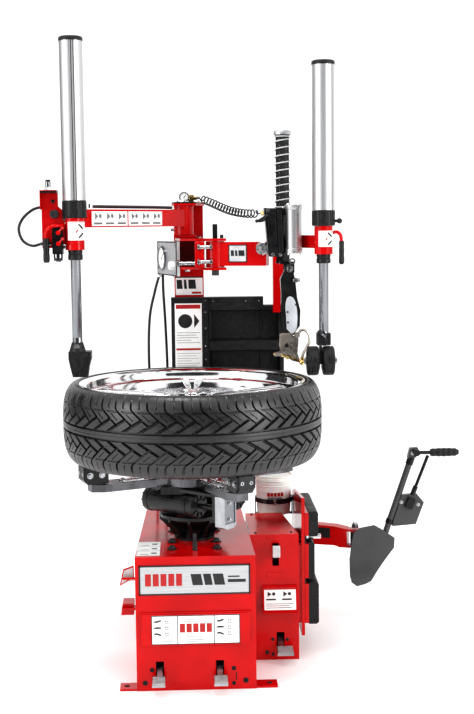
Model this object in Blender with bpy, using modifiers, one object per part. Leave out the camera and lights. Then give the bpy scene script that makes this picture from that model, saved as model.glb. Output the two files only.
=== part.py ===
"""Tyre changer with a swing-arm mounting tool, two pneumatic helper towers, a bead breaker
and a wheel clamped on its turntable. Metres, +Z up; the origin is on the floor under the
turntable's axis, the operator stands at -Y, and the bead breaker is on the +X side."""

import bmesh
import bpy
from math import cos, pi, radians, sin
from mathutils import Matrix, Vector

# ---- driving dimensions -------------------------------------------------------------
GAP = 0.0003            # clearance kept between touching pieces
SHEET = 0.003           # cabinet sheet metal

CAB_FRONT, CAB_BACK, CAB_HEIGHT = -0.233, 0.690, 0.400
CAB_HALF_FRONT, CAB_HALF_BACK = 0.175, 0.151

BOX_LEFT, BOX_FRONT, BOX_BACK = 0.170, 0.008, 0.300
BOX_RIGHT_FRONT, BOX_RIGHT_BACK = 0.322, 0.290

COLUMN_X, COLUMN_Y, COLUMN_SIDE = -0.005, 0.555, 0.100
COLUMN_TOP = 1.425

WHEEL_MID, WHEEL_HALF = 0.769, 0.114     # height of the wheel's middle, half the rim's width
TYRE_R, RIM_R = 0.392, 0.341
RIM_SEAT_R = 0.3222
FACE_TOP = 0.845                         # top of the wheel's spokes

TABLE_BOTTOM, TABLE_TOP = 0.576, 0.598
TABLE_TURN = radians(-66)                # direction of the first jaw
CLAMP_TURN = radians(-41)                # direction of the first clamp cylinder
JAW_IN, JAW_OUT, JAW_WIDTH = 0.285, 0.362, 0.048
JAW_TOP = 0.6520

LEFT_HINGE = Vector((-0.020, 0.440))
LEFT_TOWER = Vector((-0.345, 0.000))
TOOL_HINGE = Vector((0.080, 0.270))
TOOL_AXIS = Vector((0.2955, 0.226))
TOOL_JOINT = Vector((0.313, 0.215, 1.214))    # cross pin of the mounting tool's lever
HELPER_HINGE = Vector((0.295, 0.420))
RIGHT_TOWER = Vector((0.412, 0.100))
ROLLER_X, ROLLER_Z, ROLLER_R = 0.4015, 0.9280, 0.0460
BREAKER_HINGE = Vector((0.375, 0.400))
BREAKER_TURN = radians(-17)              # direction of the breaker arm from its hinge
BLADE_PIN = 0.175                        # blade pin's distance along the breaker arm
BLADE_FRONT = 0.318
HANDLE_Y = 0.334

ROD_R = 0.015                            # piston rods of the two towers
BUCKET = Vector((0.270, 0.378))

STEPS = 28                               # sides of a turned piece
WHEEL_STEPS = 48                         # sides of the rim and the tyre

# ---- scene, collections and materials -----------------------------------------------
for old in list(bpy.data.objects):
    bpy.data.objects.remove(old, do_unlink=True)

MACHINE = bpy.data.collections.new("tyre_changer")
TOOLS = bpy.data.collections.new("cutters")
for collection in (MACHINE, TOOLS):
    bpy.context.scene.collection.children.link(collection)


def material(name, colour, roughness, metallic=0.0):
    made = bpy.data.materials.new(name)
    made.use_nodes = True
    shader = made.node_tree.nodes["Principled BSDF"]
    shader.inputs["Base Color"].default_value = (*colour, 1.0)
    shader.inputs["Roughness"].default_value = roughness
    shader.inputs["Metallic"].default_value = metallic
    return made


RED = ((0.62, 0.005, 0.008), 0.25, 0.0)
BLACK = ((0.012, 0.012, 0.013), 0.45, 0.0)
RUBBER = ((0.020, 0.020, 0.021), 0.75, 0.0)
STEEL = ((0.55, 0.56, 0.58), 0.30, 1.0)
CHROME = ((0.80, 0.81, 0.83), 0.08, 1.0)
ALUMINIUM = ((0.72, 0.73, 0.75), 0.28, 1.0)
WHITE = ((0.80, 0.80, 0.78), 0.40, 0.0)
GREY = ((0.55, 0.56, 0.57), 0.45, 0.0)


# ---- modelling helpers --------------------------------------------------------------
def add(name, mesh, look, place=None):
    """A finished piece, or a cutter when look is None."""
    item = bpy.data.objects.new(name, mesh)
    if look is None:
        TOOLS.objects.link(item)
        item.hide_render = True
        item.display_type = "WIRE"
    else:
        MACHINE.objects.link(item)
        item.data.materials.append(material(name, *look))
    if place is not None:
        item.matrix_world = place
    return item


def block(name, x, y, z, look=None, place=None):
    """A box between the pairs x, y and z."""
    work = bmesh.new()
    bmesh.ops.create_cube(work, size=1.0)
    for vertex in work.verts:
        vertex.co = Vector([low + (high - low) * (part + 0.5)
                            for (low, high), part in zip((x, y, z), vertex.co)])
    mesh = bpy.data.meshes.new(name)
    work.to_mesh(mesh)
    work.free()
    return add(name, mesh, look, place)


def rod(name, start, end, radius, look=None, sides=24, end_radius=None):
    """A straight round bar, or a cone when end_radius differs, between two points."""
    start, end = Vector(start), Vector(end)
    along = end - start
    work = bmesh.new()
    bmesh.ops.create_cone(work, cap_ends=True, segments=sides, radius1=radius,
                          radius2=radius if end_radius is None else end_radius,
                          depth=along.length)
    mesh = bpy.data.meshes.new(name)
    work.to_mesh(mesh)
    work.free()
    turn = along.to_track_quat("Z", "Y").to_matrix().to_4x4()
    return add(name, mesh, look, Matrix.Translation((start + end) / 2) @ turn)


def ball(name, centre, radius, look=None):
    work = bmesh.new()
    bmesh.ops.create_uvsphere(work, u_segments=12, v_segments=8, radius=radius)
    mesh = bpy.data.meshes.new(name)
    work.to_mesh(mesh)
    work.free()
    return add(name, mesh, look, Matrix.Translation(centre))


def turned(name, profile, centre, look=None, steps=STEPS, closed=False):
    """A profile of (radius, height) points, top to bottom on its outer side, turned about Z."""
    mesh = bpy.data.meshes.new(name)
    edges = [(i, i + 1) for i in range(len(profile) - 1)]
    if closed:
        edges.append((len(profile) - 1, 0))
    mesh.from_pydata([(radius, 0.0, height) for radius, height in profile], edges, [])
    item = add(name, mesh, look, Matrix.Translation((centre[0], centre[1], 0.0)))
    screw = item.modifiers.new("turn", "SCREW")
    screw.steps = screw.render_steps = steps
    screw.use_merge_vertices = True
    screw.merge_threshold = 0.0001
    return item


def outline(name, loops, thickness, place, look=None):
    """Flat outlines filled and thickened both ways; a second loop is a hole."""
    curve = bpy.data.curves.new(name, "CURVE")
    curve.dimensions = "2D"
    curve.fill_mode = "BOTH"
    curve.extrude = thickness / 2
    for points in loops:
        spline = curve.splines.new("POLY")
        spline.points.add(len(points) - 1)
        for point, (x, y) in zip(spline.points, points):
            point.co = (x, y, 0.0, 1.0)
        spline.use_cyclic_u = True
    guide = bpy.data.objects.new(name + "_outline", curve)
    TOOLS.objects.link(guide)
    return meshed(name, guide, place, look)


def meshed(name, guide, place, look):
    """The closed mesh of a curve object, which is then removed."""
    bpy.context.view_layer.update()
    seen = guide.evaluated_get(bpy.context.evaluated_depsgraph_get())
    mesh = bpy.data.meshes.new_from_object(seen)
    work = bmesh.new()
    work.from_mesh(mesh)
    bmesh.ops.remove_doubles(work, verts=work.verts, dist=0.00001)
    bmesh.ops.recalc_face_normals(work, faces=work.faces)
    work.to_mesh(mesh)
    work.free()
    mesh.materials.clear()
    bpy.data.objects.remove(guide, do_unlink=True)
    return add(name, mesh, look, place)


def smooth_route(points, spacing):
    """Evenly spaced points on a Catmull-Rom curve through the route's own points."""
    route = [Vector(p) for p in points]
    route = [2 * route[0] - route[1]] + route + [2 * route[-1] - route[-2]]
    fine = []
    for a, b, c, d in zip(route, route[1:], route[2:], route[3:]):
        for i in range(24):
            t = i / 24
            fine.append(0.5 * (2 * b + (c - a) * t + (2 * a - 5 * b + 4 * c - d) * t ** 2
                               + (3 * b - a - 3 * c + d) * t ** 3))
    fine.append(route[-2])
    length = sum((q - p).length for p, q in zip(fine, fine[1:]))
    count = max(2, round(length / spacing))
    result, travelled, index = [fine[0]], 0.0, 0
    for k in range(1, count):
        target = length * k / count
        while travelled + (fine[index + 1] - fine[index]).length < target:
            travelled += (fine[index + 1] - fine[index]).length
            index += 1
        step = fine[index + 1] - fine[index]
        result.append(fine[index] + step * ((target - travelled) / step.length))
    return result + [fine[-1]]


def hose(name, points, radius, look, spacing=None, resolution=2):
    """A tube along a smooth route."""
    curve = bpy.data.curves.new(name, "CURVE")
    curve.dimensions = "3D"
    curve.bevel_depth = radius
    curve.bevel_resolution = resolution
    curve.use_fill_caps = True
    route = smooth_route(points, spacing or radius * 5)
    spline = curve.splines.new("POLY")
    spline.points.add(len(route) - 1)
    for point, place in zip(spline.points, route):
        point.co = (*place, 1.0)
    item = bpy.data.objects.new(name, curve)
    MACHINE.objects.link(item)
    curve.materials.append(material(name, *look))
    return item


def combine(item, others, operation):
    for other in others:
        change = item.modifiers.new(operation.lower(), "BOOLEAN")
        change.operation = operation
        change.object = other
    return item


def weld(item, *others):
    return combine(item, others, "UNION")


def cut(item, *others):
    return combine(item, others, "DIFFERENCE")


def flat_on(point, across, up):
    """Placement whose X is across, Y is up and Z is their normal, at a point."""
    across, up = Vector(across).normalized(), Vector(up).normalized()
    normal = across.cross(up)
    turn = Matrix((across, up, normal)).transposed().to_4x4()
    return Matrix.Translation(point) @ turn


def facing_front(y):
    """Placement for an outline drawn in X and Z at depth y."""
    return flat_on((0.0, y, 0.0), (1, 0, 0), (0, 0, 1))


def turned_to(centre, angle):
    """Placement at a point on the plan, with X along the angle."""
    return Matrix.Translation((centre[0], centre[1], 0.0)) @ Matrix.Rotation(angle, 4, "Z")


def arc(centre, radius, start, end, count):
    return [(centre[0] + radius * cos(start + (end - start) * i / count),
             centre[1] + radius * sin(start + (end - start) * i / count))
            for i in range(count + 1)]


# ---- cabinets -----------------------------------------------------------------------
def open_shell(name, corners, height, look):
    """A sheet-metal box on four plan corners, open below."""
    work = bmesh.new()
    bmesh.ops.create_cube(work, size=1.0)
    for vertex in work.verts:
        side, depth = vertex.co.x > 0, vertex.co.y > 0
        x, y = corners[(side, depth)]
        vertex.co = Vector((x, y, height if vertex.co.z > 0 else 0.0))
    bottom = [face for face in work.faces if face.normal.z < -0.5]
    bmesh.ops.delete(work, geom=bottom, context="FACES_ONLY")
    mesh = bpy.data.meshes.new(name)
    work.to_mesh(mesh)
    work.free()
    item = add(name, mesh, look)
    wall = item.modifiers.new("sheet", "SOLIDIFY")
    wall.thickness = SHEET
    wall.offset = -1.0
    wall.use_even_offset = True
    return item


def main_cabinet():
    corners = {(False, False): (-CAB_HALF_FRONT, CAB_FRONT), (True, False): (CAB_HALF_FRONT, CAB_FRONT),
               (False, True): (-CAB_HALF_BACK, CAB_BACK), (True, True): (CAB_HALF_BACK, CAB_BACK)}
    shell = open_shell("main_cabinet", corners, CAB_HEIGHT, RED)
    front = (CAB_FRONT - 0.01, CAB_FRONT + 0.01)
    slots = [block("slot", (x - 0.012, x + 0.012), front, (0.030, 0.088)) for x in (-0.107, 0.0685)]
    raised = block("raised_panel", (-0.163, 0.161), (CAB_FRONT - 0.005, CAB_FRONT + 0.001),
                   (0.134, 0.236))
    feet = [block("foot", x, (CAB_FRONT + 0.003, CAB_FRONT + 0.055), (0.0, 0.006))
            for x in ((-0.225, -CAB_HALF_FRONT + 0.004), (CAB_HALF_FRONT - 0.004, 0.238))]
    flap = block("flap", (-0.040, 0.0), (0.0, 0.060), (-0.003, 0.003),
                 place=Matrix.Translation((-CAB_HALF_FRONT + 0.003, CAB_FRONT + 0.012, 0.335))
                 @ Matrix.Rotation(radians(-20), 4, "X"))
    tab = block("tab", (-0.216, -CAB_HALF_FRONT + 0.003), (CAB_FRONT + 0.02, CAB_FRONT + 0.05),
                (0.238, 0.244))
    bar_end = CAB_HALF_FRONT - 0.0075
    floor_bar = block("floor_bar", (-bar_end, bar_end), (-0.030, 0.030), (0.0, 0.005))
    shaft_hole = rod("hole", (0, 0, 0.38), (0, 0, 0.42), 0.014)
    return cut(weld(shell, raised, flap, tab, floor_bar, *feet), shaft_hole, *slots)


def side_cabinet():
    corners = {(False, False): (BOX_LEFT, BOX_FRONT), (True, False): (BOX_RIGHT_FRONT, BOX_FRONT),
               (False, True): (BOX_LEFT, BOX_BACK), (True, True): (BOX_RIGHT_BACK, BOX_BACK)}
    shell = open_shell("side_cabinet", corners, CAB_HEIGHT, RED)
    front = (BOX_FRONT - 0.01, BOX_FRONT + 0.01)
    lever_slot = block("slot", (0.240, 0.260), front, (0.300, 0.372))
    pedal_slot = block("slot", (0.252, 0.276), front, (0.022, 0.088))
    tray = block("tray", (0.208, 0.316), (-0.006, 0.0), (0.0, 0.085),
                 place=Matrix.Translation((0.0, BOX_FRONT - 0.020, 0.155))
                 @ Matrix.Rotation(radians(-14), 4, "X"))
    shelf = block("shelf", (0.208, 0.316), (BOX_FRONT - 0.024, BOX_FRONT + 0.001), (0.152, 0.160))
    return cut(weld(shell, shelf, tray), lever_slot, pedal_slot)


def pedal(name, x, front, pad):
    """A foot pedal: a bent arm through the slot, with a flat toe. Its axis is along X."""
    axis_y = front + 0.103
    arm = outline(name, [[(axis_y + 0.012, 0.094), (axis_y + 0.012, 0.108), (axis_y - 0.012, 0.108),
                          (front + 0.01, 0.070), (front - 0.028, 0.050), (front - 0.028, 0.040),
                          (front + 0.01, 0.056), (axis_y - 0.006, 0.090)]],
                  0.016, flat_on((x, 0.0, 0.0), (0, 1, 0), (0, 0, 1)), STEEL)
    toe = block(name + "_toe", pad, (-0.066, -0.012), (-0.004, 0.004),
                place=Matrix.Translation((0.0, front, 0.0465)) @ Matrix.Rotation(radians(8), 4, "X"))
    tube = rod(name + "_tube", (x - 0.020, axis_y, 0.100), (x + 0.020, axis_y, 0.100), 0.009)
    return weld(arm, toe, tube)


def valve_lever():
    """The flat lever in the slot of the side cabinet, turning on an axis along X."""
    hub_y, hub_z = BOX_FRONT + 0.020, 0.330
    blade = [(hub_y + 0.010, hub_z - 0.010), (hub_y + 0.010, hub_z + 0.010),
             (BOX_FRONT + 0.004, hub_z + 0.012), (BOX_FRONT - 0.026, hub_z + 0.036),
             (BOX_FRONT - 0.038, hub_z + 0.030), (BOX_FRONT - 0.030, hub_z + 0.006),
             (BOX_FRONT + 0.004, hub_z - 0.010)]
    return outline("valve_lever", [blade], 0.014,
                   flat_on((0.250, 0.0, 0.0), (0, 1, 0), (0, 0, 1)), STEEL)


# ---- drive --------------------------------------------------------------------------
PULLEY_Z = (0.345, 0.365)
GEAR_PULLEY_R, MOTOR_PULLEY_R, MOTOR_Y = 0.058, 0.030, 0.270


def gearbox():
    body = turned("gearbox", [(0.0, 0.482), (0.100, 0.482), (0.104, 0.478), (0.100, 0.468),
                              (0.060, 0.444), (0.044, 0.430), (0.042, 0.404), (0.0, 0.404)],
                  (0, 0), BLACK)
    base = rod("base", (0, 0, CAB_HEIGHT + GAP), (0, 0, 0.408), 0.062, sides=40)
    worm = rod("worm", (-0.085, 0.050, 0.450), (0.060, 0.050, 0.450), 0.030)
    bore = rod("bore", (0, 0, 0.440), (0, 0, 0.500), 0.0225)
    return cut(weld(body, base, worm), bore)


def motor():
    body = rod("motor", (0, MOTOR_Y, 0.110), (0, MOTOR_Y, 0.300), 0.062, BLACK, sides=32)
    hangers = [block("hanger", (x - 0.004, x + 0.004), (MOTOR_Y - 0.03, MOTOR_Y + 0.03),
                     (0.180, CAB_HEIGHT - SHEET - GAP)) for x in (-0.062, 0.062)]
    return weld(body, *hangers)


def pulley(name, y, radius, z_end):
    """A belt pulley between two flanges, with its shaft up to z_end or down to it."""
    low, high = PULLEY_Z
    wheel = turned(name, [(0.0, high), (radius + 0.005, high), (radius + 0.005, high - 0.0025),
                          (radius, high - 0.003), (radius, low + 0.003),
                          (radius + 0.005, low + 0.0025), (radius + 0.005, low), (0.0, low)],
                   (0, y), STEEL, steps=32)
    shaft = rod(name + "_shaft", (0, y, (low + high) / 2), (0, y, z_end), 0.010, sides=16)
    return weld(wheel, shaft)


def drive_belt():
    """A belt loop round both pulleys, following their outer tangents."""
    lean = belt_lean(GEAR_PULLEY_R, MOTOR_PULLEY_R, MOTOR_Y)
    loops = []
    for extra in (0.0053, GAP):
        front = arc((0, 0), GEAR_PULLEY_R + extra, pi - lean, 2 * pi + lean, 24)
        back = arc((0, MOTOR_Y), MOTOR_PULLEY_R + extra, lean, pi - lean, 16)
        loops.append(front + back)
    return outline("drive_belt", loops, 0.0130,
                   Matrix.Translation((0, 0, sum(PULLEY_Z) / 2)), RUBBER)


def belt_lean(large, small, distance):
    """Angle by which a belt's straight runs lean between two unlike pulleys."""
    return (large - small) / distance


# ---- turntable and wheel ------------------------------------------------------------
def table():
    disc = rod("table", (0, 0, TABLE_BOTTOM), (0, 0, TABLE_TOP + 0.002), 0.110, ALUMINIUM, sides=48)
    arms = []
    for quarter in range(4):
        shape = [(0.03, -0.040), (0.20, -0.036), (0.300, -0.036), (0.336, -0.018),
                 (0.336, 0.018), (0.300, 0.036), (0.20, 0.036), (0.03, 0.040)]
        arms.append(outline("arm", [shape], TABLE_TOP - TABLE_BOTTOM,
                            Matrix.Translation((0, 0, (TABLE_TOP + TABLE_BOTTOM) / 2))
                            @ Matrix.Rotation(TABLE_TURN + quarter * pi / 2, 4, "Z")))
    shaft = rod("shaft", (0, 0, 0.443), (0, 0, TABLE_BOTTOM + 0.002), 0.0215)
    return weld(disc, shaft, *arms)


def clamp_cylinders():
    """Two air cylinders under the table, one on each side of the shaft, on one plate."""
    plate = block("clamp_cylinders", (-0.100, 0.100), (-0.100, 0.100), (0.554, TABLE_BOTTOM - GAP),
                  BLACK)
    hole = rod("hole", (0, 0, 0.50), (0, 0, 0.60), 0.023)
    pieces = []
    for turn in (0.0, pi):
        place = Matrix.Rotation(turn + CLAMP_TURN, 4, "Z")
        ends = [place @ Vector((along, -0.080, 0.5225)) for along in (-0.110, 0.087, 0.200)]
        pieces.append(rod("barrel", ends[0], ends[1], 0.0365, sides=28))
        pieces.append(rod("piston", ends[1] - (ends[2] - ends[1]) * 0.02, ends[2], 0.008, sides=12))
        cover = block("cover", (0.197, 0.203), (-0.107, -0.053), (0.478, 0.568), place=place)
        cheeks = [block("cheek", (0.160, 0.199), side, (0.486, 0.566), place=place)
                  for side in ((-0.105, -0.101), (-0.059, -0.055))]
        roof = block("roof", (0.03, 0.201), (-0.106, -0.054), (0.562, 0.5705), place=place)
        pieces += [cover, roof] + cheeks
    return cut(weld(plate, *pieces), hole)


def jaw(number):
    """A clamp carriage on its table arm, with a finger inside the rim's lower flange."""
    place = Matrix.Rotation(TABLE_TURN + (number - 1) * pi / 2, 4, "Z")
    side = [(JAW_IN, TABLE_TOP + 0.0025), (JAW_OUT - 0.012, TABLE_TOP + 0.0025),
            (JAW_OUT, TABLE_TOP + 0.016), (JAW_OUT, JAW_TOP), (0.3125, JAW_TOP),
            (0.3125, 0.678), (0.308, 0.682), (0.298, 0.682), (0.292, JAW_TOP - 0.012),
            (JAW_IN, JAW_TOP - 0.024)]
    return outline(f"jaw_{number}", [side], JAW_WIDTH, place @ flat_on((0, 0, 0), (1, 0, 0), (0, 0, 1)),
                   BLACK)


def both_sides(points):
    """A profile mirrored about the wheel's middle, top to bottom."""
    upper = [(r, WHEEL_MID + z) for r, z in points]
    lower = [(r, WHEEL_MID - z) for r, z in reversed(points)]
    return upper + lower


def tyre():
    outer = [(0.3225 + GAP, 0.088), (0.3225 + GAP, 0.1058), (0.3430, 0.1060), (0.3480, 0.1130),
             (0.3600, 0.1160), (0.3740, 0.1115), (0.3850, 0.0970), (0.3900, 0.0750), (TYRE_R, 0.0300)]
    inner = [(0.3810, 0.0480), (0.3740, 0.0760), (0.3400, 0.0900)]
    profile = both_sides(outer)
    back = both_sides(inner)
    return turned("tyre", profile + back[::-1], (0, 0), RUBBER, WHEEL_STEPS, closed=True)


def rim():
    outer = [(RIM_R, WHEEL_HALF), (RIM_R, 0.1066), (RIM_SEAT_R, 0.1062), (RIM_SEAT_R, 0.086),
             (0.3010, 0.050)]
    inner = [(0.3170, 0.1120), (0.3160, 0.084), (0.2950, 0.047)]
    profile = both_sides(outer) + both_sides(inner)[::-1]
    barrel = turned("rim", profile, (0, 0), CHROME, WHEEL_STEPS, closed=True)
    hub = rod("hub", (0, 0, FACE_TOP - 0.060), (0, 0, FACE_TOP - 0.012), 0.078, sides=40)
    spokes = []
    for number in range(5):
        shape = [(0.050, -0.030), (0.160, -0.021), (0.298, -0.034),
                 (0.298, 0.034), (0.160, 0.021), (0.050, 0.030)]
        place = Matrix.Rotation(number * 2 * pi / 5 + radians(18), 4, "Z")
        lean = Matrix.Translation((0, 0, FACE_TOP - 0.032)) @ Matrix.Rotation(radians(-2.2), 4, "Y")
        spokes.append(outline("spoke", [shape], 0.030, place @ lean))
    bore = rod("bore", (0, 0, 0.70), (0, 0, 0.90), 0.036)
    return cut(weld(barrel, hub, *spokes), bore)


# ---- column and what it carries -----------------------------------------------------
def column():
    half = COLUMN_SIDE / 2
    x = (COLUMN_X - half, COLUMN_X + half)
    y = (COLUMN_Y - half, COLUMN_Y + half)
    tube = block("column", x, y, (0.404, COLUMN_TOP - 0.003), RED)
    inside = block("inside", (x[0] + 0.006, x[1] - 0.006), (y[0] + 0.006, y[1] - 0.006), (0.43, 1.40))
    window = block("window", (COLUMN_X - 0.02, COLUMN_X + 0.02), (y[1] - 0.01, y[1] + 0.01), (0.50, 0.56))
    foot = block("foot", (-0.110, 0.100), (0.440, 0.670), (CAB_HEIGHT + GAP, 0.409))
    top = outline("top", [[(-0.060, 0.612), (0.050, 0.612), (0.050, 0.500), (0.020, 0.404),
                           (-0.052, 0.404), (-0.060, 0.430)]],
                  0.007, Matrix.Translation((0, 0, COLUMN_TOP - 0.0035)))
    lug = outline("lug", [[(-0.052, 0.510), (0.030, 0.510), (0.018, 0.408), (-0.052, 0.408)]],
                  0.008, Matrix.Translation((0, 0, 1.316)))
    pin = rod("pin", (*LEFT_HINGE, 1.315), (*LEFT_HINGE, 1.420), 0.012, sides=20)
    gauge_stem = rod("stem", (-0.018, 0.500, 1.420), (-0.018, 0.500, 1.440), 0.006, sides=12)
    gauge = rod("gauge", (-0.018, 0.508, 1.4475), (-0.018, 0.482, 1.4475), 0.0165)
    fitting = block("fitting", (-0.003, 0.014), (0.490, 0.512), (1.424, 1.454))
    return cut(weld(tube, foot, top, lug, pin, gauge_stem, gauge, fitting), inside, window)


def tool_board():
    """The moulded panel on the column's front, with two shelves on its right."""
    board = block("tool_board", (-0.067, 0.314), (0.455, 0.500), (0.750, 1.110), BLACK)
    step = block("step", (0.245, 0.35), (0.44, 0.51), (1.081, 1.12))
    bays = [block("bay", (0.062, 0.302), (0.44, 0.490), z) for z in ((0.962, 1.066), (0.775, 0.928))]
    return cut(board, step, *bays)


def arm_bracket():
    """Plates and webs that carry the mounting arm's hinge pin, with the lock housing's seat."""
    plan = [(-0.033, 0.336), (-0.0525, 0.504), (0.050, 0.504), (0.072, 0.360), (0.115, 0.320),
            (0.115, 0.236), (0.052, 0.236), (0.018, 0.300)]
    top = outline("arm_bracket", [plan], 0.008, Matrix.Translation((0, 0, 1.306)), RED)
    bottom = outline("bottom", [plan], 0.008, Matrix.Translation((0, 0, 1.213)))
    back = block("back", (-0.050, 0.049), (0.496, 0.504), (1.212, 1.307))
    web = block("web", (0.014, 0.022), (0.305, 0.500), (1.212, 1.307))
    pin = rod("pin", (*TOOL_HINGE, 1.192), (*TOOL_HINGE, 1.353), 0.0075, sides=16)
    nut = rod("nut", (*TOOL_HINGE, 1.194), (*TOOL_HINGE, 1.211), 0.013, sides=6)
    return weld(top, bottom, back, web, pin, nut)


def gauge_housing():
    """The wedge-shaped pneumatic housing on the column's left, its dial facing outwards."""
    plan = [(-0.043, 0.328), (-0.0345, 0.334), (-0.0560, 0.500), (-0.0950, 0.528), (-0.1110, 0.522)]
    return outline("gauge_housing", [plan], 0.113, Matrix.Translation((0, 0, 1.2435)), GREY)


def helper_post():
    post = block("helper_post", (0.275, 0.3165), (0.400, 0.440), (1.060, 1.273), RED)
    cheek = block("cheek", (0.3155, 0.3255), (0.400, 0.545), (1.030, 1.085))
    rail = block("rail", (0.0455, 0.3250), (0.5055, 0.545), (1.031, 1.072))
    pin = rod("pin", (*HELPER_HINGE, 1.270), (*HELPER_HINGE, 1.334), 0.009, sides=16)
    return weld(post, cheek, rail, pin)


# ---- towers -------------------------------------------------------------------------
def beam(name, start, end, width, z, look=None):
    """A level box beam between two plan points."""
    along = Vector(end) - Vector(start)
    middle = (Vector(start) + Vector(end)) / 2
    place = turned_to(middle, along.to_3d().to_2d().angle_signed(Vector((1, 0))))
    half = along.length / 2
    return block(name, (-half, half), (-width / 2, width / 2), z, look, place)


def swing_arm(name, hinge, tower, width, beam_z, hub_z, hub_r, pin_r, sleeve_z, collar_r):
    """Hub, beam and clamp sleeve of a swing arm, bored for its pin and its tower."""
    hub = rod(name, (*hinge, hub_z[0]), (*hinge, hub_z[1]), hub_r, RED, sides=32)
    bar = beam(name + "_beam", hinge, tower, width, beam_z)
    sleeve = rod(name + "_sleeve", (*tower, sleeve_z[0]), (*tower, sleeve_z[1]), 0.0285, sides=32)
    clearance = rod(name + "_clear", (*tower, sleeve_z[1]), (*tower, sleeve_z[1] + 0.1),
                    collar_r + 0.001, sides=32)
    bores = [rod(name + "_bore", (*hinge, hub_z[0] - 0.01), (*hinge, hub_z[1] + 0.01), pin_r + 0.0006),
             rod(name + "_throat", (*tower, sleeve_z[0] - 0.01), (*tower, sleeve_z[1] + 0.01), 0.0185)]
    return cut(weld(hub, bar, sleeve), clearance, *bores)


def collar(name, tower, top, shoulder, foot, end, radius):
    """Black collar with its liner through the sleeve and its bush below it."""
    profile = [(radius, top), (radius, shoulder), (0.018, shoulder), (0.018, foot), (0.022, foot),
               (0.022, end), (ROD_R + 0.0006, end), (ROD_R + 0.0006, top)]
    return turned(name, profile, tower, BLACK, closed=True)


def air_cylinder(name, tower, top, bottom):
    """A tall aluminium cylinder, open below, closed by its cap."""
    profile = [(0.0, top), (0.030, top), (0.0350, top - 0.006), (0.0350, bottom),
               (0.0310, bottom), (0.0310, top - 0.012), (0.0, top - 0.012)]
    return turned(name, profile, tower, ALUMINIUM)


def piston_rod(name, tower, bottom, piston):
    profile = [(0.0, piston + 0.015), (0.0300, piston + 0.015), (0.0300, piston),
               (ROD_R, piston), (ROD_R, bottom), (0.0, bottom)]
    return turned(name, profile, tower, CHROME)


def left_press():
    """The plastic press block with its flared neck, on the end of the left rod."""
    x = LEFT_TOWER.x + 0.008
    shape = [(x - 0.034, 0.979), (x + 0.034, 0.979), (x + 0.034, 0.957), (x + 0.027, 0.932),
             (x + 0.022, 0.902), (x - 0.022, 0.902), (x - 0.030, 0.936), (x - 0.034, 0.957)]
    foot = outline("left_press", [shape], 0.050, facing_front(0.0), BLACK)
    neck = rod("neck", (*LEFT_TOWER, 0.976), (*LEFT_TOWER, 1.0055), 0.026, sides=24, end_radius=0.017)
    return weld(foot, neck)


def valve_unit():
    """The hand valve on its bracket, beside the left tower."""
    plate = block("valve_unit", (-0.442, -0.394), (0.0, 0.006), (1.290, 1.459), RED)
    lug = block("lug", (-0.400, -0.3735), (-0.006, 0.012), (1.300, 1.360))
    lip = block("lip", (-0.442, -0.394), (-0.030, 0.003), (1.453, 1.459))
    fitting = rod("fitting", (-0.420, -0.014, 1.456), (-0.420, -0.014, 1.491), 0.0075, sides=12)
    body = block("body", (-0.410, -0.379), (-0.032, 0.001), (1.272, 1.350))
    knob = rod("knob", (-0.402, 0.003, 1.390), (-0.402, -0.034, 1.390), 0.012, sides=20)
    grip = rod("grip", (-0.429, -0.020, 1.248), (-0.429, -0.020, 1.318), 0.0085, sides=16)
    link = block("link", (-0.433, -0.425), (-0.020, 0.002), (1.300, 1.312))
    plug = rod("plug", (-0.3945, -0.016, 1.276), (-0.3945, -0.016, 1.252), 0.013, sides=20)
    return weld(plate, lug, lip, fitting, body, knob, grip, link, plug)


def valve_toggle(number, z):
    """A small lever on the valve's face, turning on an axis along Y."""
    x = -0.391
    hub = rod(f"valve_toggle_{number}", (x, -0.0323, z), (x, -0.042, z), 0.0065, RED, sides=16)
    stick = rod("stick", (x, -0.038, z), (x + 0.012, -0.044, z + 0.013), 0.0028, sides=10)
    return weld(hub, stick)


# ---- mounting tool ------------------------------------------------------------------
def tool_arm():
    hub = rod("tool_arm", (*TOOL_HINGE, 1.2180), (*TOOL_HINGE, 1.3010), 0.030, RED, sides=32)
    bar = beam("bar", TOOL_HINGE, Vector((0.246, 0.224)), 0.045, (1.2225, 1.2985))
    bore = rod("bore", (*TOOL_HINGE, 1.20), (*TOOL_HINGE, 1.32), 0.0081)
    return cut(weld(hub, bar), bore)


def square_bar(name, half_diagonal, z, look=None):
    return rod(name, (*TOOL_AXIS, z[0]), (*TOOL_AXIS, z[1]), half_diagonal, look, sides=4)


def tool_housing():
    """The black lock housing that guides the square column."""
    front = outline("tool_housing", [[(0.232, 1.405), (0.288, 1.400), (0.293, 1.262), (0.285, 1.252),
                                      (0.250, 1.252), (0.244, 1.264)]],
                    0.052, facing_front(0.178), BLACK)
    guides = [rod("guide", (*TOOL_AXIS, z), (*TOOL_AXIS, z + 0.022), 0.0305, sides=32)
              for z in (1.262, 1.382)]
    back = block("back", (0.2530, 0.335), (0.247, 0.262), (1.262, 1.404))
    cheek = block("cheek", (0.2530, 0.268), (0.190, 0.255), (1.262, 1.404))
    handle = rod("handle", (0.246, 0.155, 1.385), (0.212, 0.146, 1.364), 0.004, sides=12)
    passage = square_bar("passage", 0.0224, (1.20, 1.45))
    return cut(weld(front, back, cheek, handle, *guides), passage)


def tool_air_cylinder():
    profile = [(0.0, 1.414), (0.0270, 1.414), (0.0275, 1.400), (0.0250, 1.399), (0.0250, 1.276),
               (0.0275, 1.275), (0.0275, 1.262), (0.0, 1.262)]
    return turned("tool_air_cylinder", profile, (0.3255, 0.1715), ALUMINIUM)


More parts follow.
